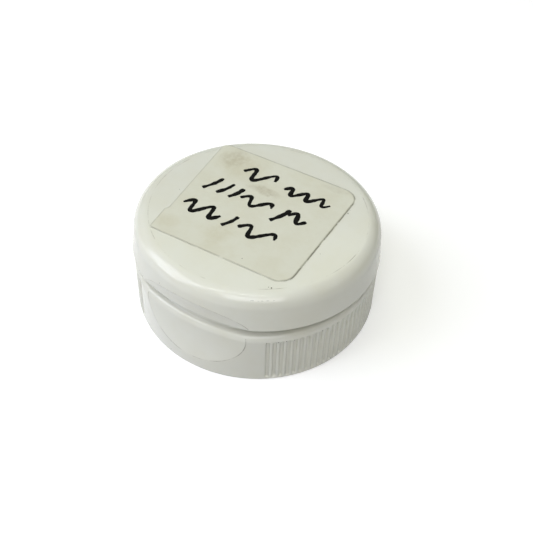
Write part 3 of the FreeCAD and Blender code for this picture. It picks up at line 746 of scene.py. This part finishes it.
sticker_points, sticker_uv, sticker_edge, sticker_faces = [], [], [], []
rounds = range(len(INSETS) + len(SHRINKS))
layers = [("under", step) for step in reversed(rounds)] + [("over", step) for step in rounds]
for side, step in layers:
    for point, out in outline:
        place = nested(point, out, step)
        from_edge = (point - place).length
        lift = UNDER_LIFT if side == "under" else paper_lift(place, from_edge)
        sticker_points.append(on_lid(place, lift))
        sticker_uv.append(place)
        sticker_edge.append(from_edge)
for level in range(len(layers) - 1):
    for i in range(count):
        j = (i + 1) % count
        a, b = level * count, (level + 1) * count
        sticker_faces.append((b + j, b + i, a + i, a + j))
for level, flip in ((0, True), (len(layers) - 1, False)):
    centre = len(sticker_points)
    sticker_points.append(on_lid(LABEL_MIDDLE, UNDER_LIFT if flip else LABEL_THICK - RIPPLE))
    sticker_uv.append(LABEL_MIDDLE)
    sticker_edge.append(FAR)
    for i in range(count):
        pair = (level * count + i, level * count + (i + 1) % count)
        sticker_faces.append((*(pair[::-1] if flip else pair), centre))
sticker_mesh = new_mesh("sticker", sticker_points, sticker_faces)
uv_layer = sticker_mesh.uv_layers.new(name="paper")
for loop in sticker_mesh.loops:
    uv_layer.data[loop.index].uv = sticker_uv[loop.vertex_index]
store(sticker_mesh, "edge", sticker_edge)
sticker_mesh.materials.append(paper)
label_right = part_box("size_label")[1].x / MM
widest = max(place.x for place in sticker_uv)
print(f"sticker: {count} points round the edge, reaches {widest:.1f} mm to the right, "
      f"and {label_right:.1f} in the frame")

# %% [markdown]
# ## Dirt packed along the sticker's edge
#
# Glue creeps out from under a sticker and collects dirt, so a thin dark line runs round it, here
# mostly on the right. The line is a strip that lies on the lid just outside the paper. Each point
# stores how far out it lies and how much dirt it may show, and the shader breaks the line up.

# %% Grime strip
STRIP_REACHES = (-0.05, 0.0, 0.06, 0.14, 0.26)
STRIP_LIFT = 0.008
strip_points, strip_reach, strip_amount = [], [], []
for reach in STRIP_REACHES:
    for point, out in outline:
        strip_points.append(on_lid(point + out * reach, LABEL_THICK * 0.9 if reach < 0 else STRIP_LIFT))
        strip_reach.append(max(reach, 0.0))
        strip_amount.append(max(0.0, 0.27 + 0.3 * out.x + 0.1 * out.y))
strip_faces = [(level * count + i, (level + 1) * count + i,
                (level + 1) * count + (i + 1) % count, level * count + (i + 1) % count)
               for level in range(len(STRIP_REACHES) - 1) for i in range(count)]
strip_mesh = new_mesh("sticker_grime", strip_points, strip_faces)
store(strip_mesh, "reach", strip_reach)
store(strip_mesh, "amount", strip_amount)
print(f"grime strip: {len(strip_faces)} faces")

# %% [markdown]
# ## Marker strokes
#
# The sticker was marked by hand with a thick black pen, in three rows. Plain waves and ticks
# stand in for what was written. Each stroke is a curve through a few points; a node tree gives it
# an uneven width, as a pen has, and sweeps a flat section along it.


# %% Strokes of the pen
def wave(start, end, level, height, waves, slant=0.0):
    """A wavy line between two places across the sticker."""
    stroke = []
    for share in steps(0.0, 1.0, int(waves * 12)):
        swing = math.sin(share * waves * 2 * math.pi)
        across = start + (end - start) * share + slant * swing
        stroke.append((across, level + height / 2 * swing + 0.05 * (end - start) * (share - 0.5)))
    return stroke


def tick(foot, level, height, slant):
    """A short slanted line with a slight bow."""
    return [(foot + slant * share + 0.25 * math.sin(share * math.pi), level + height * share)
            for share in steps(0.0, 1.0, 6)]


strokes = [
    wave(-7.4, -1.4, 7.4, 3.2, 1.5, 0.5), wave(0.9, 9.4, 6.9, 2.0, 3.0, 0.35),
    tick(-10.8, -0.5, 4.0, 1.7), tick(-8.2, -0.3, 3.5, 1.5), tick(-5.9, -0.2, 3.2, 1.2),
    wave(-4.1, 1.6, 0.9, 2.3, 1.5, 0.35), tick(2.8, -1.5, 4.0, 1.7),
    wave(4.7, 8.0, 1.2, 2.4, 1.0, 0.3), wave(-11.2, -4.2, -5.2, 2.8, 2.0, 0.4),
    tick(-3.0, -6.8, 3.2, 1.3), wave(-0.6, 5.8, -5.5, 2.6, 1.5, 0.5),
]
pen_sizes = {"Pen width": 0.74, "Thickness": 0.02, "Unevenness": 0.28, "Seed": 3.0}


def pen_tree():
    tree, start, end = new_tree("draw_strokes", pen_sizes)
    size = start.outputs
    line = add(tree, "GeometryNodeMeshToCurve", Mesh=size["Geometry"])
    fine = add(tree, "GeometryNodeResampleCurve", {"mode": "LENGTH"}, Curve=line.outputs[0], Length=0.12)
    place = tree.nodes.new("GeometryNodeInputPosition").outputs[0]
    hand = add(tree, "ShaderNodeTexNoise", {"noise_dimensions": "4D"}, Vector=place, W=size["Seed"],
               Scale=0.9, Detail=2.0)
    uneven = ease(tree, hand.outputs[0], 0.25, 0.75, -1.0, 1.0)
    width = plus(tree, times(tree, uneven, size["Unevenness"]), 1.0)
    along = tree.nodes.new("GeometryNodeSplineParameter").outputs["Factor"]
    taper = times(tree, ease(tree, along, 0.0, 0.03, 0.7, 1.0), ease(tree, along, 0.93, 1.0, 1.0, 0.6))
    upright = add(tree, "GeometryNodeSetCurveNormal", {"mode": "Z_UP"}, Curve=fine.outputs[0])
    tip = add(tree, "GeometryNodeCurvePrimitiveCircle", Resolution=10, Radius=0.5)
    nib = add(tree, "GeometryNodeTransform", Geometry=tip.outputs[0],
              Scale=xyz(tree, size["Pen width"], size["Thickness"], 1.0))
    drawn = add(tree, "GeometryNodeCurveToMesh", Curve=upright.outputs[0],
                Profile_Curve=nib.outputs[0], Scale=times(tree, width, taper), Fill_Caps=True)
    finish_tree(tree, drawn.outputs[0], end, ink)
    return tree


pen_points, pen_edges = [], []
for stroke in strokes:
    first = len(pen_points)
    pen_points += [on_lid(place, LABEL_THICK + UNDER_LIFT) for place in stroke]
    pen_edges += [(first + i, first + i + 1) for i in range(len(stroke) - 1)]
pen_lines = new_mesh("pen_lines", pen_points, edges=pen_edges)
ink_mesh = grow("marker_strokes", pen_tree(), pen_sizes, pen_lines)
print(f"{len(strokes)} strokes, {len(ink_mesh.polygons)} faces")

# %% [markdown]
# ## Flecks of dirt
#
# Small dark flecks sit where the flutes end, on the rim and on the walls, and a few thin scuffs run
# along the rim. Each is a flat crumb. The list holds where they lie, as an angle from the front, a
# height, a length and a width, and the tree sets a crumb on every place, turned as the list says.

# %% Where the flecks lie
# each: angle in degrees, height, length, width
BASE_FLECKS = [
    (34.9, 9.15, 0.16, 0.12), (40.0, 9.1, 0.22, 0.15), (43.4, 9.1, 0.22, 0.14),
    (46.9, 9.05, 0.17, 0.12), (60.0, 9.1, 0.2, 0.14), (68.1, 9.0, 0.15, 0.11),
    (80.8, 8.9, 0.15, 0.1), (66.5, 0.5, 0.22, 0.15), (-11.0, 0.6, 0.2, 0.12),
    (35.3, 0.35, 0.14, 0.1), (97.0, 9.1, 0.16, 0.12), (128.0, 9.0, 0.17, 0.12),
    (-62.0, 9.1, 0.14, 0.1), (-118.0, 9.1, 0.15, 0.11),
]
LID_FLECKS = [(-33.0, 10.5, 0.22, 0.14), (-29.4, 10.6, 0.22, 0.14), (-38.4, 10.6, 0.15, 0.1),
              (-16.0, 12.9, 0.2, 0.1)]
RIM_SCUFFS = [(28.0, 15.66, 0.6, 0.07), (30.6, 15.64, 0.3, 0.05), (32.2, 15.66, 0.35, 0.07),
              (34.6, 15.68, 0.45, 0.08), (37.2, 15.7, 0.3, 0.04)]
# each: across, back, length, width
TOP_FLECKS = [(10.55, -14.2, 0.28, 0.2), (10.1, -14.3, 0.16, 0.1), (3.82, -11.4, 0.2, 0.1),
              (12.63, 7.19, 0.22, 0.16), (12.5, 8.2, 0.16, 0.1), (-5.7, 10.5, 0.18, 0.14),
              (13.2, -3.9, 0.12, 0.1), (-13.7, -3.0, 0.12, 0.1)]
FLECK_FLATNESS = 0.2
UP = Vector((0.0, 0.0, 1.0))
shuffle = random.Random(11)


def fleck_places(flecks):
    """Points that carry a crumb's size, the way it faces and the way it lies."""
    mesh = new_mesh("fleck_places", [fleck[0] for fleck in flecks])
    for number, name in enumerate(("facing", "along", "size"), 1):
        values = [value for fleck in flecks for value in fleck[number]]
        mesh.attributes.new(name, "FLOAT_VECTOR", "POINT").data.foreach_set("vector", values)
    return mesh


def wall_fleck(fleck, radius_at, turned=True):
    """A crumb on a wall: place, facing, direction and size."""
    degrees, height, length, width = fleck
    angle = math.radians(degrees)
    out = Vector((math.sin(angle), -math.cos(angle), 0.0))
    along = Vector((out.y, -out.x, 0.0))
    if turned:
        along = Matrix.Rotation(shuffle.uniform(0, math.pi), 3, out) @ along
    size = (length, width, width * FLECK_FLATNESS)
    return out * radius_at(angle, height) + UP * height, out, along, size


def rim_radius(angle, height):
    """Radius of the rim's rounding at a height."""
    over = height - (LID_TOP - LID_ROUND)
    return FLAT_RADIUS + math.sqrt(LID_ROUND ** 2 - over ** 2)


def top_fleck(fleck):
    """A crumb on the lid's top or on the sticker, whichever lies there."""
    across, back, length, width = fleck
    inside = all((Vector((across, back)) - point).dot(out) < 0 for point, out in outline[::4])
    along = Matrix.Rotation(shuffle.uniform(0, math.pi), 3, UP) @ Vector((1.0, 0.0, 0.0))
    place = Vector(on_lid((across, back), LABEL_THICK if inside else 0.0))
    return place, UP, along, (length, width, width * FLECK_FLATNESS)


# %% Crumbs
fleck_sizes = {"Unevenness": 0.5}


def fleck_tree():
    tree, start, end = new_tree("scatter_flecks", fleck_sizes)
    crumb = add(tree, "GeometryNodeMeshIcoSphere", Radius=0.5, Subdivisions=2)
    place = tree.nodes.new("GeometryNodeInputPosition").outputs[0]
    rough = add(tree, "ShaderNodeTexNoise", Vector=place, Scale=2.5, Detail=1.0)
    bulge = times(tree, minus(tree, rough.outputs[0], 0.5), start.outputs["Unevenness"])
    push = add(tree, "ShaderNodeVectorMath", {"operation": "SCALE"}, Vector=place, Scale=bulge)
    lumpy = add(tree, "GeometryNodeSetPosition", Geometry=crumb.outputs[0], Offset=push.outputs[0])
    facing, along, size = (
        add(tree, "GeometryNodeInputNamedAttribute", {"data_type": "FLOAT_VECTOR"}, Name=name).outputs[0]
        for name in ("facing", "along", "size"))
    upright = add(tree, "FunctionNodeAlignRotationToVector", {"axis": "Z"}, Vector=facing)
    turned = add(tree, "FunctionNodeAlignRotationToVector", {"axis": "X", "pivot_axis": "Z"},
                 Rotation=upright.outputs[0], Vector=along)
    crumbs = add(tree, "GeometryNodeInstanceOnPoints", Points=start.outputs["Geometry"],
                 Instance=lumpy.outputs[0], Rotation=turned.outputs[0], Scale=size)
    finish_tree(tree, crumbs.outputs[0], end, dirt)
    return tree


crumbs = fleck_tree()
on_base = [wall_fleck(fleck, base_radius) for fleck in BASE_FLECKS]
on_top = [wall_fleck(fleck, lid_radius) for fleck in LID_FLECKS]
on_top += [wall_fleck(fleck, rim_radius, turned=False) for fleck in RIM_SCUFFS]
on_top += [top_fleck(fleck) for fleck in TOP_FLECKS]
base_flecks = grow("base_flecks", crumbs, fleck_sizes, fleck_places(on_base))
lid_flecks = grow("lid_flecks", crumbs, fleck_sizes, fleck_places(on_top))
print(f"{len(on_base)} flecks on the base, {len(on_top)} on the lid")

# %% [markdown]
# ## Shared effects for the shaders
#
# Plastic, paper and dirt share three effects, so each is a node group. Mottling mixes two colours
# in soft clouds, fine wear makes a roughness and a height for the bump, and a line group turns a
# stored distance into a thin broken mask for a dark line.


# %% Node groups
def new_group(name, inputs, outputs):
    group = bpy.data.node_groups.new(name, "ShaderNodeTree")
    for label, (kind, value) in inputs.items():
        socket = group.interface.new_socket(label, in_out="INPUT", socket_type=f"NodeSocket{kind}")
        if value is not None:
            socket.default_value = value
    for label, kind in outputs.items():
        group.interface.new_socket(label, in_out="OUTPUT", socket_type=f"NodeSocket{kind}")
    return group, group.nodes.new("NodeGroupInput").outputs, group.nodes.new("NodeGroupOutput").inputs


def clouds(tree, place, scale, detail=3.0, roughness=0.55):
    node = add(tree, "ShaderNodeTexNoise", Vector=place, Scale=scale, Detail=detail, Roughness=roughness)
    return node.outputs[0]


def mix(tree, share, first, second):
    """Mixes two colours."""
    node = add(tree, "ShaderNodeMix", {"data_type": "RGBA"})
    for index, value in ((0, share), (6, first), (7, second)):
        put(tree, node.inputs[index], value)
    return node.outputs[2]


def mottling_group():
    group, given, result = new_group(
        "Mottling",
        {"Place": ("Vector", None), "Colour": ("Color", (1, 1, 1, 1)),
         "Tint": ("Color", (1, 1, 1, 1)), "Scale": ("Float", 100.0), "Amount": ("Float", 0.5)},
        {"Colour": "Color"})
    soft = ease(group, clouds(group, given["Place"], given["Scale"]), 0.35, 0.7)
    grain = clouds(group, given["Place"], times(group, given["Scale"], 5.0))
    fine = ease(group, grain, 0.45, 0.8, 0.0, 0.4)
    share = times(group, plus(group, soft, fine), given["Amount"])
    put(group, result["Colour"], mix(group, share, given["Colour"], given["Tint"]))
    return group


def wear_group():
    group, given, result = new_group(
        "Fine wear",
        {"Place": ("Vector", None), "Roughness": ("Float", 0.25), "Spread": ("Float", 0.1),
         "Scale": ("Float", 800.0)},
        {"Roughness": "Float", "Height": "Float"})
    rubbed = clouds(group, given["Place"], given["Scale"], 4.0, 0.6)
    grain = clouds(group, given["Place"], times(group, given["Scale"], 4.0), 2.0, 0.5)
    change = times(group, minus(group, rubbed, 0.5), given["Spread"])
    put(group, result["Roughness"], plus(group, given["Roughness"], change))
    put(group, result["Height"], plus(group, rubbed, times(group, grain, 0.35)))
    return group


def line_mask_group():
    group, given, result = new_group(
        "Dark line mask",
        {"Place": ("Vector", None), "Distance": ("Float", 0.0), "Width": ("Float", 0.05),
         "Scale": ("Float", 500.0), "Cover": ("Float", 0.5)},
        {"Mask": "Float"})
    near = ease(group, calc(group, "ABSOLUTE", given["Distance"]), 0.0, given["Width"], 1.0, 0.0)
    patchy = clouds(group, given["Place"], given["Scale"], 4.0, 0.65)
    start = minus(group, 0.75, given["Cover"])
    broken = ease(group, patchy, start, plus(group, start, 0.22))
    put(group, result["Mask"], times(group, near, broken))
    return group


mottling, fine_wear, line_mask_tree = mottling_group(), wear_group(), line_mask_group()
print("shader groups:", [group.name for group in (mottling, fine_wear, line_mask_tree)])


# %% Helpers for materials
def open_material(material):
    """Gives the material's tree, its surface shader and the object's own coordinates."""
    material.use_nodes = True
    tree = material.node_tree
    place = tree.nodes.new("ShaderNodeTexCoord").outputs["Object"]
    return tree, tree.nodes["Principled BSDF"], place


def use(tree, group, **inputs):
    node = tree.nodes.new("ShaderNodeGroup")
    node.node_tree = group
    for name, value in inputs.items():
        put(tree, node.inputs[name], value)
    return node.outputs


def stored(tree, name):
    node = tree.nodes.new("ShaderNodeAttribute")
    node.attribute_name = name
    return node.outputs["Fac"]


def set_constants(shader, **values):
    for name, value in values.items():
        shader.inputs[name.replace("_", " ")].default_value = value


def mottled(tree, place, colour, tint, scale, amount):
    return use(tree, mottling, Place=place, Colour=colour, Tint=tint,
               Scale=scale, Amount=amount)["Colour"]


def dark_line_along(tree, place, line, width, scale, cover):
    """Mask of a thin broken dark line, where a distance stored on the points comes near nought."""
    return use(tree, line_mask_tree, Place=place, Distance=stored(tree, line), Width=width,
               Scale=scale, Cover=cover)["Mask"]


def worn(tree, shader, place, roughness, spread, scale, strength, depth, more=None):
    """Links roughness and bump; more is roughness to add."""
    wear = use(tree, fine_wear, Place=place, Roughness=roughness, Spread=spread, Scale=scale)
    rough = wear["Roughness"] if more is None else plus(tree, wear["Roughness"], more)
    put(tree, shader.inputs["Roughness"], rough)
    bump = add(tree, "ShaderNodeBump", Height=wear["Height"], Strength=strength, Distance=depth)
    tree.links.new(bump.outputs[0], shader.inputs["Normal"])


# %% [markdown]
# ## White polypropylene
#
# Moulded polypropylene is glossy and a little waxy: light goes in and spreads before it comes
# out, so a small subsurface share softens the shade. The white has yellowed in clouds. A thin dark
# line is painted along the recess's edge, and dirt lies on the ring where the flat top ends, both
# from the stored distances.

# %% Plastic
# The last colour darkens a thin line painted along the recess's edge, and the dirt on the lid's ring.
WHITE, YELLOWED, DARK_LINE_COLOUR = (0.735, 0.74, 0.66, 1), (0.70, 0.69, 0.575, 1), (0.16, 0.14, 0.09, 1)


def finish_plastic():
    tree, shader, place = open_material(plastic)
    colour = mottled(tree, place, WHITE, YELLOWED, 110.0, 0.45)
    # A thin dark line is painted along the recess's edge; the ring where the flat top ends is dirt.
    crease = dark_line_along(tree, place, "crease", 0.02, 420.0, 0.39)
    ring = dark_line_along(tree, place, "ring", 0.09, 330.0, 0.29)
    colour = mix(tree, times(tree, crease, 0.8), colour, DARK_LINE_COLOUR)
    colour = mix(tree, times(tree, ring, 0.7), colour, DARK_LINE_COLOUR)
    put(tree, shader.inputs["Base Color"], colour)
    line_roughness = times(tree, plus(tree, crease, ring), 0.4)
    worn(tree, shader, place, 0.14, 0.06, 700.0, 0.08, 0.00006, line_roughness)
    set_constants(shader, IOR=1.49, Subsurface_Weight=0.12, Subsurface_Scale=0.0012)
    shader.inputs["Subsurface Radius"].default_value = (1.0, 0.95, 0.8)


finish_plastic()
print("plastic finished")

# %% [markdown]
# ## Sticker paper
#
# The paper is matt and yellower than the lid. It is stained: brown where a thumb rubbed it,
# yellow in soft patches, and dark at its edge. Stains are soft ovals on the paper's own map,
# bent by noise so that no outline shows.

# %% Paper
PAPER, AGED = (0.69, 0.69, 0.585, 1), (0.62, 0.60, 0.465, 1)
SMUDGE, EDGE_DIRT = (0.36, 0.31, 0.2, 1), (0.1, 0.085, 0.055, 1)
# place across and back, half width and half depth in mm, strength
BROWN_STAINS = [(-1.7, 4.6, 3.4, 1.3, 0.75), (-0.9, 4.0, 1.6, 0.5, 0.8),
                (-10.6, 9.6, 2.6, 3.0, 0.55), (8.5, 11.6, 3.5, 0.9, 0.3)]
YELLOW_STAINS = [(-8.5, 8.5, 5.5, 4.0, 0.9), (-2.4, -8.8, 2.3, 4.6, 0.8),
                 (-10.8, -10.6, 2.2, 2.0, 0.6), (9.0, 5.0, 3.0, 2.0, 0.3)]


def vector(tree, operation, *values):
    """A Vector Math node's outputs."""
    node = add(tree, "ShaderNodeVectorMath", {"operation": operation})
    for socket, value in zip(node.inputs, values):
        put(tree, socket, value)
    return node.outputs


def stain_mask(tree, bent, stains, rough):
    """Adds soft ovals together."""
    total = 0.0
    for across, back, wide, deep, strength in stains:
        shift = vector(tree, "SUBTRACT", bent, (across, back, 0.0))
        scaled = vector(tree, "MULTIPLY", shift[0], (1 / wide, 1 / deep, 0.0))
        length = vector(tree, "LENGTH", scaled[0])["Value"]
        oval = ease(tree, length, 0.35, 1.15, strength, 0.0)
        total = calc(tree, "MAXIMUM", total, oval)
    return times(tree, total, rough)


def finish_paper():
    tree, shader, place = open_material(paper)
    paper_map = tree.nodes.new("ShaderNodeUVMap")
    paper_map.uv_map = "paper"
    flat = paper_map.outputs[0]
    noise_colour = add(tree, "ShaderNodeTexNoise", Vector=flat, Scale=0.5, Detail=3.0).outputs["Color"]
    shift = vector(tree, "SUBTRACT", noise_colour, (0.5, 0.5, 0.5))
    wide = vector(tree, "MULTIPLY", shift[0], (2.4, 2.4, 0.0))
    bent = vector(tree, "ADD", flat, wide[0])[0]
    patchy = ease(tree, clouds(tree, flat, 1.1, 5.0, 0.65), 0.3, 0.65, 0.35, 1.0)
    colour = mottled(tree, place, PAPER, AGED, 260.0, 0.4)
    yellow = stain_mask(tree, bent, YELLOW_STAINS, patchy)
    brown = stain_mask(tree, bent, BROWN_STAINS, patchy)
    colour = mix(tree, yellow, colour, AGED)
    colour = mix(tree, times(tree, brown, 0.6), colour, SMUDGE)
    edge = dark_line_along(tree, place, "edge", 0.3, 380.0, 0.5)
    colour = mix(tree, times(tree, edge, 0.3), colour, EDGE_DIRT)
    put(tree, shader.inputs["Base Color"], colour)
    worn(tree, shader, place, 0.5, 0.2, 1500.0, 0.25, 0.00005)


finish_paper()
print(f"paper finished with {len(BROWN_STAINS) + len(YELLOW_STAINS)} stains")

# %% [markdown]
# ## Ink, dirt and the grime strip
#
# Marker ink is black with a slight sheen and dries unevenly. Dirt is brown and dull. The strip
# round the sticker is dirt that fades out away from the paper, so it needs a mask for its alpha.


# %% Ink and dirt
INK_COLOURS = (0.002, 0.002, 0.0025, 1), (0.007, 0.0068, 0.007, 1)
DIRT_COLOURS = (0.05, 0.042, 0.028, 1), (0.14, 0.12, 0.08, 1)
FADED_COLOURS = (0.17, 0.15, 0.085, 1), (0.3, 0.27, 0.17, 1)


def finish_ink():
    tree, shader, place = open_material(ink)
    put(tree, shader.inputs["Base Color"], mottled(tree, place, *INK_COLOURS, 500.0, 0.7))
    worn(tree, shader, place, 0.5, 0.25, 900.0, 0.15, 0.00003)
    set_constants(shader, Specular_IOR_Level=0.12)


def finish_dirt(material, faded):
    tree, shader, place = open_material(material)
    colours = FADED_COLOURS if faded else DIRT_COLOURS
    put(tree, shader.inputs["Base Color"], mottled(tree, place, *colours, 600.0, 0.6))
    worn(tree, shader, place, 0.8, 0.2, 2000.0, 0.3, 0.00003)
    if faded:
        mask = dark_line_along(tree, place, "reach", STRIP_REACHES[-1], 420.0, 0.42)
        put(tree, shader.inputs["Alpha"], times(tree, mask, stored(tree, "amount")))


finish_ink()
finish_dirt(dirt, faded=False)
grime = bpy.data.materials.new("edge_grime")
finish_dirt(grime, faded=True)
strip_mesh.materials.append(grime)
print("ink and dirt finished")

# %% [markdown]
# ## Putting the pieces on the frame
#
# Shapes so far are in millimetres, and the lid's are drawn closed. Now each mesh is scaled to
# metres, the lid's are swung to the resting angle about the hinge line, and every piece is tied to
# the body that it moves with.

# %% Place, ride and replace
to_metres = Matrix.Scale(MM, 4)
hinge_line = Vector((0.0, HINGE_Y, PARTING))
swing = (Matrix.Translation(hinge_line) @ Matrix.Rotation(math.radians(AJAR), 4, Vector(hinge["axis"]))
         @ Matrix.Translation(-hinge_line))


def settle(mesh, matrix, sharpest=50.0):
    """Places a mesh and shades it smooth, with edges sharper than this angle left crisp."""
    mesh.transform(matrix)
    mesh.shade_smooth()
    mesh.set_sharp_from_angle(angle=math.radians(sharpest))
    return new_object(mesh.name, mesh)


base_piece = settle(fluted_mesh, to_metres)
thread_piece = settle(thread_mesh, to_metres, 30.0)
for piece in (base_piece, thread_piece):
    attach(piece, "base")
    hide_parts("closure_base")

lid_piece = settle(lid_mesh, to_metres @ swing)
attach(lid_piece, "lid")
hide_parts("flip_lid")

sticker_piece = settle(sticker_mesh, to_metres @ swing)
strip_piece = settle(strip_mesh, to_metres @ swing)
ink_piece = settle(ink_mesh, to_metres @ swing)
for piece in (sticker_piece, strip_piece, ink_piece):
    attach(piece, "lid")
    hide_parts("size_label")

for mesh, matrix, body in ((base_flecks, to_metres, "base"), (lid_flecks, to_metres @ swing, "lid")):
    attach(settle(mesh, matrix), body)

film_piece = settle(film_mesh, to_metres)
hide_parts("living_hinge")
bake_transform(film_piece)

# %% [markdown]
# ## Floor, light and camera
#
# A small white object on white needs shape from the light, not from the backdrop. A cool panel at
# the upper left and a neutral one in front do most of the work, and weaker ones above and behind
# fill the top. Narrow strips draw the bright lines along the lid's rim. The floor is white to the
# camera but greyer to the cap, so that the walls keep their shade.

# %% Floor
FLOOR_SIZE, FLOOR_DROP = 3.0, 0.00005
TO_THE_CAP, TO_THE_CAMERA, FLOOR_GLOW = (0.5, 0.5, 0.5, 1), (0.86, 0.86, 0.86, 1), 0.28
corners = [(x * FLOOR_SIZE / 2, y * FLOOR_SIZE / 2, -FLOOR_DROP)
           for x, y in ((-1, -1), (1, -1), (1, 1), (-1, 1))]
floor_mesh = new_mesh("floor", corners, [(0, 1, 2, 3)])
floor_material = bpy.data.materials.new("floor_paper")


def finish_floor():
    tree, shader, place = open_material(floor_material)
    rays = tree.nodes.new("ShaderNodeLightPath").outputs
    direct = calc(tree, "MAXIMUM", rays["Is Camera Ray"],
                  calc(tree, "MAXIMUM", rays["Is Glossy Ray"], rays["Is Transmission Ray"]))
    put(tree, shader.inputs["Base Color"], mix(tree, direct, TO_THE_CAP, TO_THE_CAMERA))
    set_constants(shader, Roughness=0.9)
    shader.inputs["Emission Color"].default_value = (1, 1, 1, 1)
    put(tree, shader.inputs["Emission Strength"], times(tree, direct, FLOOR_GLOW))


finish_floor()
floor_mesh.materials.append(floor_material)
floor = new_object("floor", floor_mesh)

# %% Sky and lamps
SKY_STRENGTH = 0.06
world = bpy.data.worlds.new("studio")
bpy.context.scene.world = world
world.use_nodes = True
sky = world.node_tree
background = sky.nodes["Background"]
rays = sky.nodes.new("ShaderNodeLightPath").outputs
direct = calc(sky, "MAXIMUM", rays["Is Camera Ray"], rays["Is Transmission Ray"])
background.inputs["Color"].default_value = (1, 1, 1, 1)
put(sky, background.inputs["Strength"], ease(sky, direct, 0.0, 1.0, SKY_STRENGTH, 1.0))


CAMERA_AZIMUTH = math.radians(30.0)
right_of_view = Vector((math.cos(CAMERA_AZIMUTH), math.sin(CAMERA_AZIMUTH), 0.0))
towards_view = Vector((math.sin(CAMERA_AZIMUTH), -math.cos(CAMERA_AZIMUTH), 0.0))
CAP_MIDDLE = Vector((0.0, 0.0, SHOULDER * MM))


def about_view(right, near, up):
    """A place given from the camera's side: to the right, towards the viewer and up, in metres."""
    return right_of_view * right + towards_view * near + Vector((0, 0, up))


def lamp(name, start, end, width, strength, colour):
    """A flat lamp from start to end that faces the cap; strength is its surface's brightness."""
    start, end = about_view(*start), about_view(*end)
    place = (start + end) / 2
    back = (place - CAP_MIDDLE).normalized()
    along = end - start
    along = (along - back * along.dot(back)).normalized()
    data = bpy.data.lights.new(name, "AREA")
    data.shape = "RECTANGLE"
    data.size, data.size_y = (end - start).length, width
    data.energy = strength * data.size * data.size_y * math.pi
    data.color = colour
    made = bpy.data.objects.new(name, data)
    bpy.context.scene.collection.objects.link(made)
    turn = Matrix((along, back.cross(along), back)).transposed()
    made.matrix_world = Matrix.Translation(place) @ turn.to_4x4()


# name, one end, the other end, width, strength, colour
PANELS = [
    ("key_panel", (-0.75, -0.3, 0.62), (-0.75, 0.4, 0.62), 0.7, 3.4, (0.84, 0.87, 1.0)),
    ("front_panel", (-0.35, 0.6, 0.8), (0.35, 0.6, 0.8), 0.5, 3.8, (1.0, 0.99, 1.0)),
    ("top_panel", (-0.35, 0.0, 1.0), (0.35, 0.0, 1.0), 0.6, 1.1, (0.95, 1.0, 0.82)),
    ("back_panel", (-0.35, -0.6, 0.8), (0.35, -0.6, 0.8), 0.5, 1.1, (0.97, 1.0, 0.68)),
]
PLAIN = (1, 1, 1)
STRIPS = [
    ("strip_left", (-0.933, -0.358, 0.035), (-0.897, 0.207, 0.39), 0.02, 22.0, PLAIN),
    ("strip_top_left", (-0.554, 0.235, 0.80), (-0.372, 0.165, 0.914), 0.02, 22.0, PLAIN),
    ("strip_top", (-0.372, 0.165, 0.914), (-0.165, 0.095, 0.98), 0.02, 22.0, PLAIN),
    ("strip_top_right", (-0.165, 0.095, 0.98), (0.17, 0.217, 0.96), 0.018, 24.0, PLAIN),
    ("strip_right", (0.771, 0.207, 0.60), (0.844, 0.149, 0.515), 0.02, 22.0, PLAIN),
]
for panel in PANELS + STRIPS:
    lamp(*panel)

# %% Camera
CAMERA_DISTANCE, CAMERA_HEIGHT = 0.082095, 0.091947
LENS, SENSOR = 45.93, 36.0
CAMERA_DIP, CAMERA_TURN, CAMERA_ROLL = math.radians(46.95), math.radians(-1.2), math.radians(2.32)
camera_data = bpy.data.cameras.new("camera")
camera_data.sensor_width, camera_data.lens = SENSOR, LENS
camera_data.clip_start, camera_data.clip_end = 0.005, 10.0
camera = bpy.data.objects.new("camera", camera_data)
bpy.context.scene.collection.objects.link(camera)
camera.matrix_world = (
    Matrix.Translation(about_view(0.0, CAMERA_DISTANCE, CAMERA_HEIGHT))
    @ Matrix.Rotation(CAMERA_AZIMUTH + CAMERA_TURN, 4, "Z")
    @ Matrix.Rotation(math.pi / 2 - CAMERA_DIP, 4, "X")
    @ Matrix.Rotation(CAMERA_ROLL, 4, "Z"))
bpy.context.scene.camera = camera
bpy.context.scene.view_settings.view_transform = "Standard"
print("camera at", tuple(round(number, 4) for number in camera.location))
